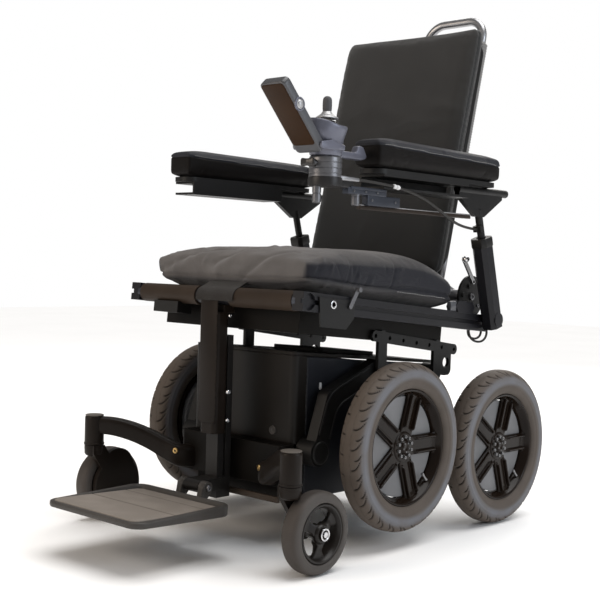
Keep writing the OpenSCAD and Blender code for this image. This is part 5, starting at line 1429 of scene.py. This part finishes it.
sill = brick((-146, -194, 95.6), (146, -186, 108), 1.6)
add_piece("bumper_sill", sill, "chassis", sill_brown)
collar = turned([(225.3, 16), (225.3, 18.2), (226.2, 19), (234, 19), (235, 18.2), (235, 16)], 48, closed=True)
add_piece("tube_collars", joined(shifted(collar, 0, *SEAT_PLACE[0]),
                                 shifted(mirrored(collar), 0, *SEAT_PLACE[0])), "seat", bar_blue)
eyelet = turned([(0, 5.2), (0, 8.6), (0.9, 8.4), (1.3, 7.6), (1.3, 6.0), (0.7, 5.2)], 40, closed=True)
add_piece("rail_bracket_ring", shifted(eyelet, 259.2, -170, 502.1), "seat", bright_steel)
add_piece("rail_rear_block", placed(plate(hexagon(7.5, 12.5, 250.8, 495), 230, 296, 1.6), front_on), "seat",
          frame_grey)
quadrant = [screw(227.6, y, z, r, h) for y, z, r, h in ((351, 515, 8.5, 4.6), (351, 474, 4, 3.4),
                                                        (378, 494, 4, 3.4))]
add_pair("recline_bolts", joined(*quadrant), "seat", dull_steel)


def lift_ridge(off):
    """Bead along one edge of a lift arm: its line from boss to elbow to upper end, moved sideways and rounded
    at the elbow."""
    low, elbow, high = np.array([-122, 197.0]), np.array([-86, 303.3]), np.array([58, 358.0])
    first, second = unit(elbow - low), unit(high - elbow)
    left, right = np.array([-first[1], first[0]]), np.array([-second[1], second[0]])
    corner = unit(left + right)
    corner = corner / (corner @ left)
    ends = np.stack([low + off * left + first * 34, elbow + off * corner, high + off * right - second * 26])
    t = np.linspace(0, 1, 30)[:, None]
    near, far = ends[1] + (ends[0] - ends[1]) * 0.3, ends[1] + (ends[2] - ends[1]) * 0.24
    bend = (1 - t) ** 2 * near + 2 * t * (1 - t) * ends[1] + t * t * far
    line = np.concatenate([ends[:1], bend, ends[2:]])
    return tube(np.concatenate([np.full((len(line), 1), 194.2), line], -1), 2.4, 12)


lift_beads = joined(lift_ridge(17), lift_ridge(-17))
boss = shifted(turned([(193.6, 1), (193.6, 24), (195, 24), (197, 22.6), (198, 20), (197.6, 12), (197.6, 1)],
                      56), 0, -122, 197)
add_pair("lift_arm_beads", joined(lift_beads, boss), "front_lift", powder_black)


def receiver_collar():
    """Cap round an arm post's socket: an eight-sided ring with a round hole that clears the stalk."""
    o = round_outline(np.array([[-20.4, -13], [-13, -22.4], [13, -22.4], [20.4, -13], [20.4, 13], [13, 22.4],
                                [-13, 22.4], [-20.4, 13]]), 3)
    hole = unit(o) * 10.2
    rows = [(o * 0.97, 172), (o, 173.4), (o, 190), (o * 0.95, 192.4), (hole * 1.12, 192.4), (hole, 191),
            (hole, 174), (hole * 1.4, 172)]
    rings = np.stack([np.concatenate([flat, np.full((len(flat), 1), w)], -1) for flat, w in rows])
    return rings.reshape(-1, 3), grid_faces(len(rows), len(o), loop_rows=True)


add_pair("receiver_collar", placed(shifted(receiver_collar(), ARM_X), in_arm), "arm_post_{}", moulded_black)


def seat_flap():
    """Cloth tongue sewn under the cushion's front: a thin strip carried over the front tube and down its
    face."""
    line = smooth_path([(0, -206, 541), (0, -222, 537), (0, -238, 529), (0, -251, 523), (0, -258.5, 512),
                        (0, -260, 500)], 40)
    ahead = unit(np.gradient(line, axis=0))
    out = np.stack([np.zeros(len(line)), ahead[:, 2], -ahead[:, 1]], -1)
    out = out * np.sign(out[:1, 2])
    across = np.linspace(-40, 68, 24)
    fall = np.linspace(0, 1, len(line))[:, None, None]
    wave = 0.5 * np.sin(across / 9.0)[None, :, None] * fall * out[:, None]
    top = line[:, None] + across[None, :, None] * np.array([1.0, 0, 0]) + out[:, None] * 1.0 + wave
    points = np.concatenate([top.reshape(-1, 3), (top - out[:, None] * 1.6).reshape(-1, 3)])
    piece = add_piece("seat_flap", (points, slab_faces(*top.shape[:2])), "seat", flap_cloth)


seat_flap()
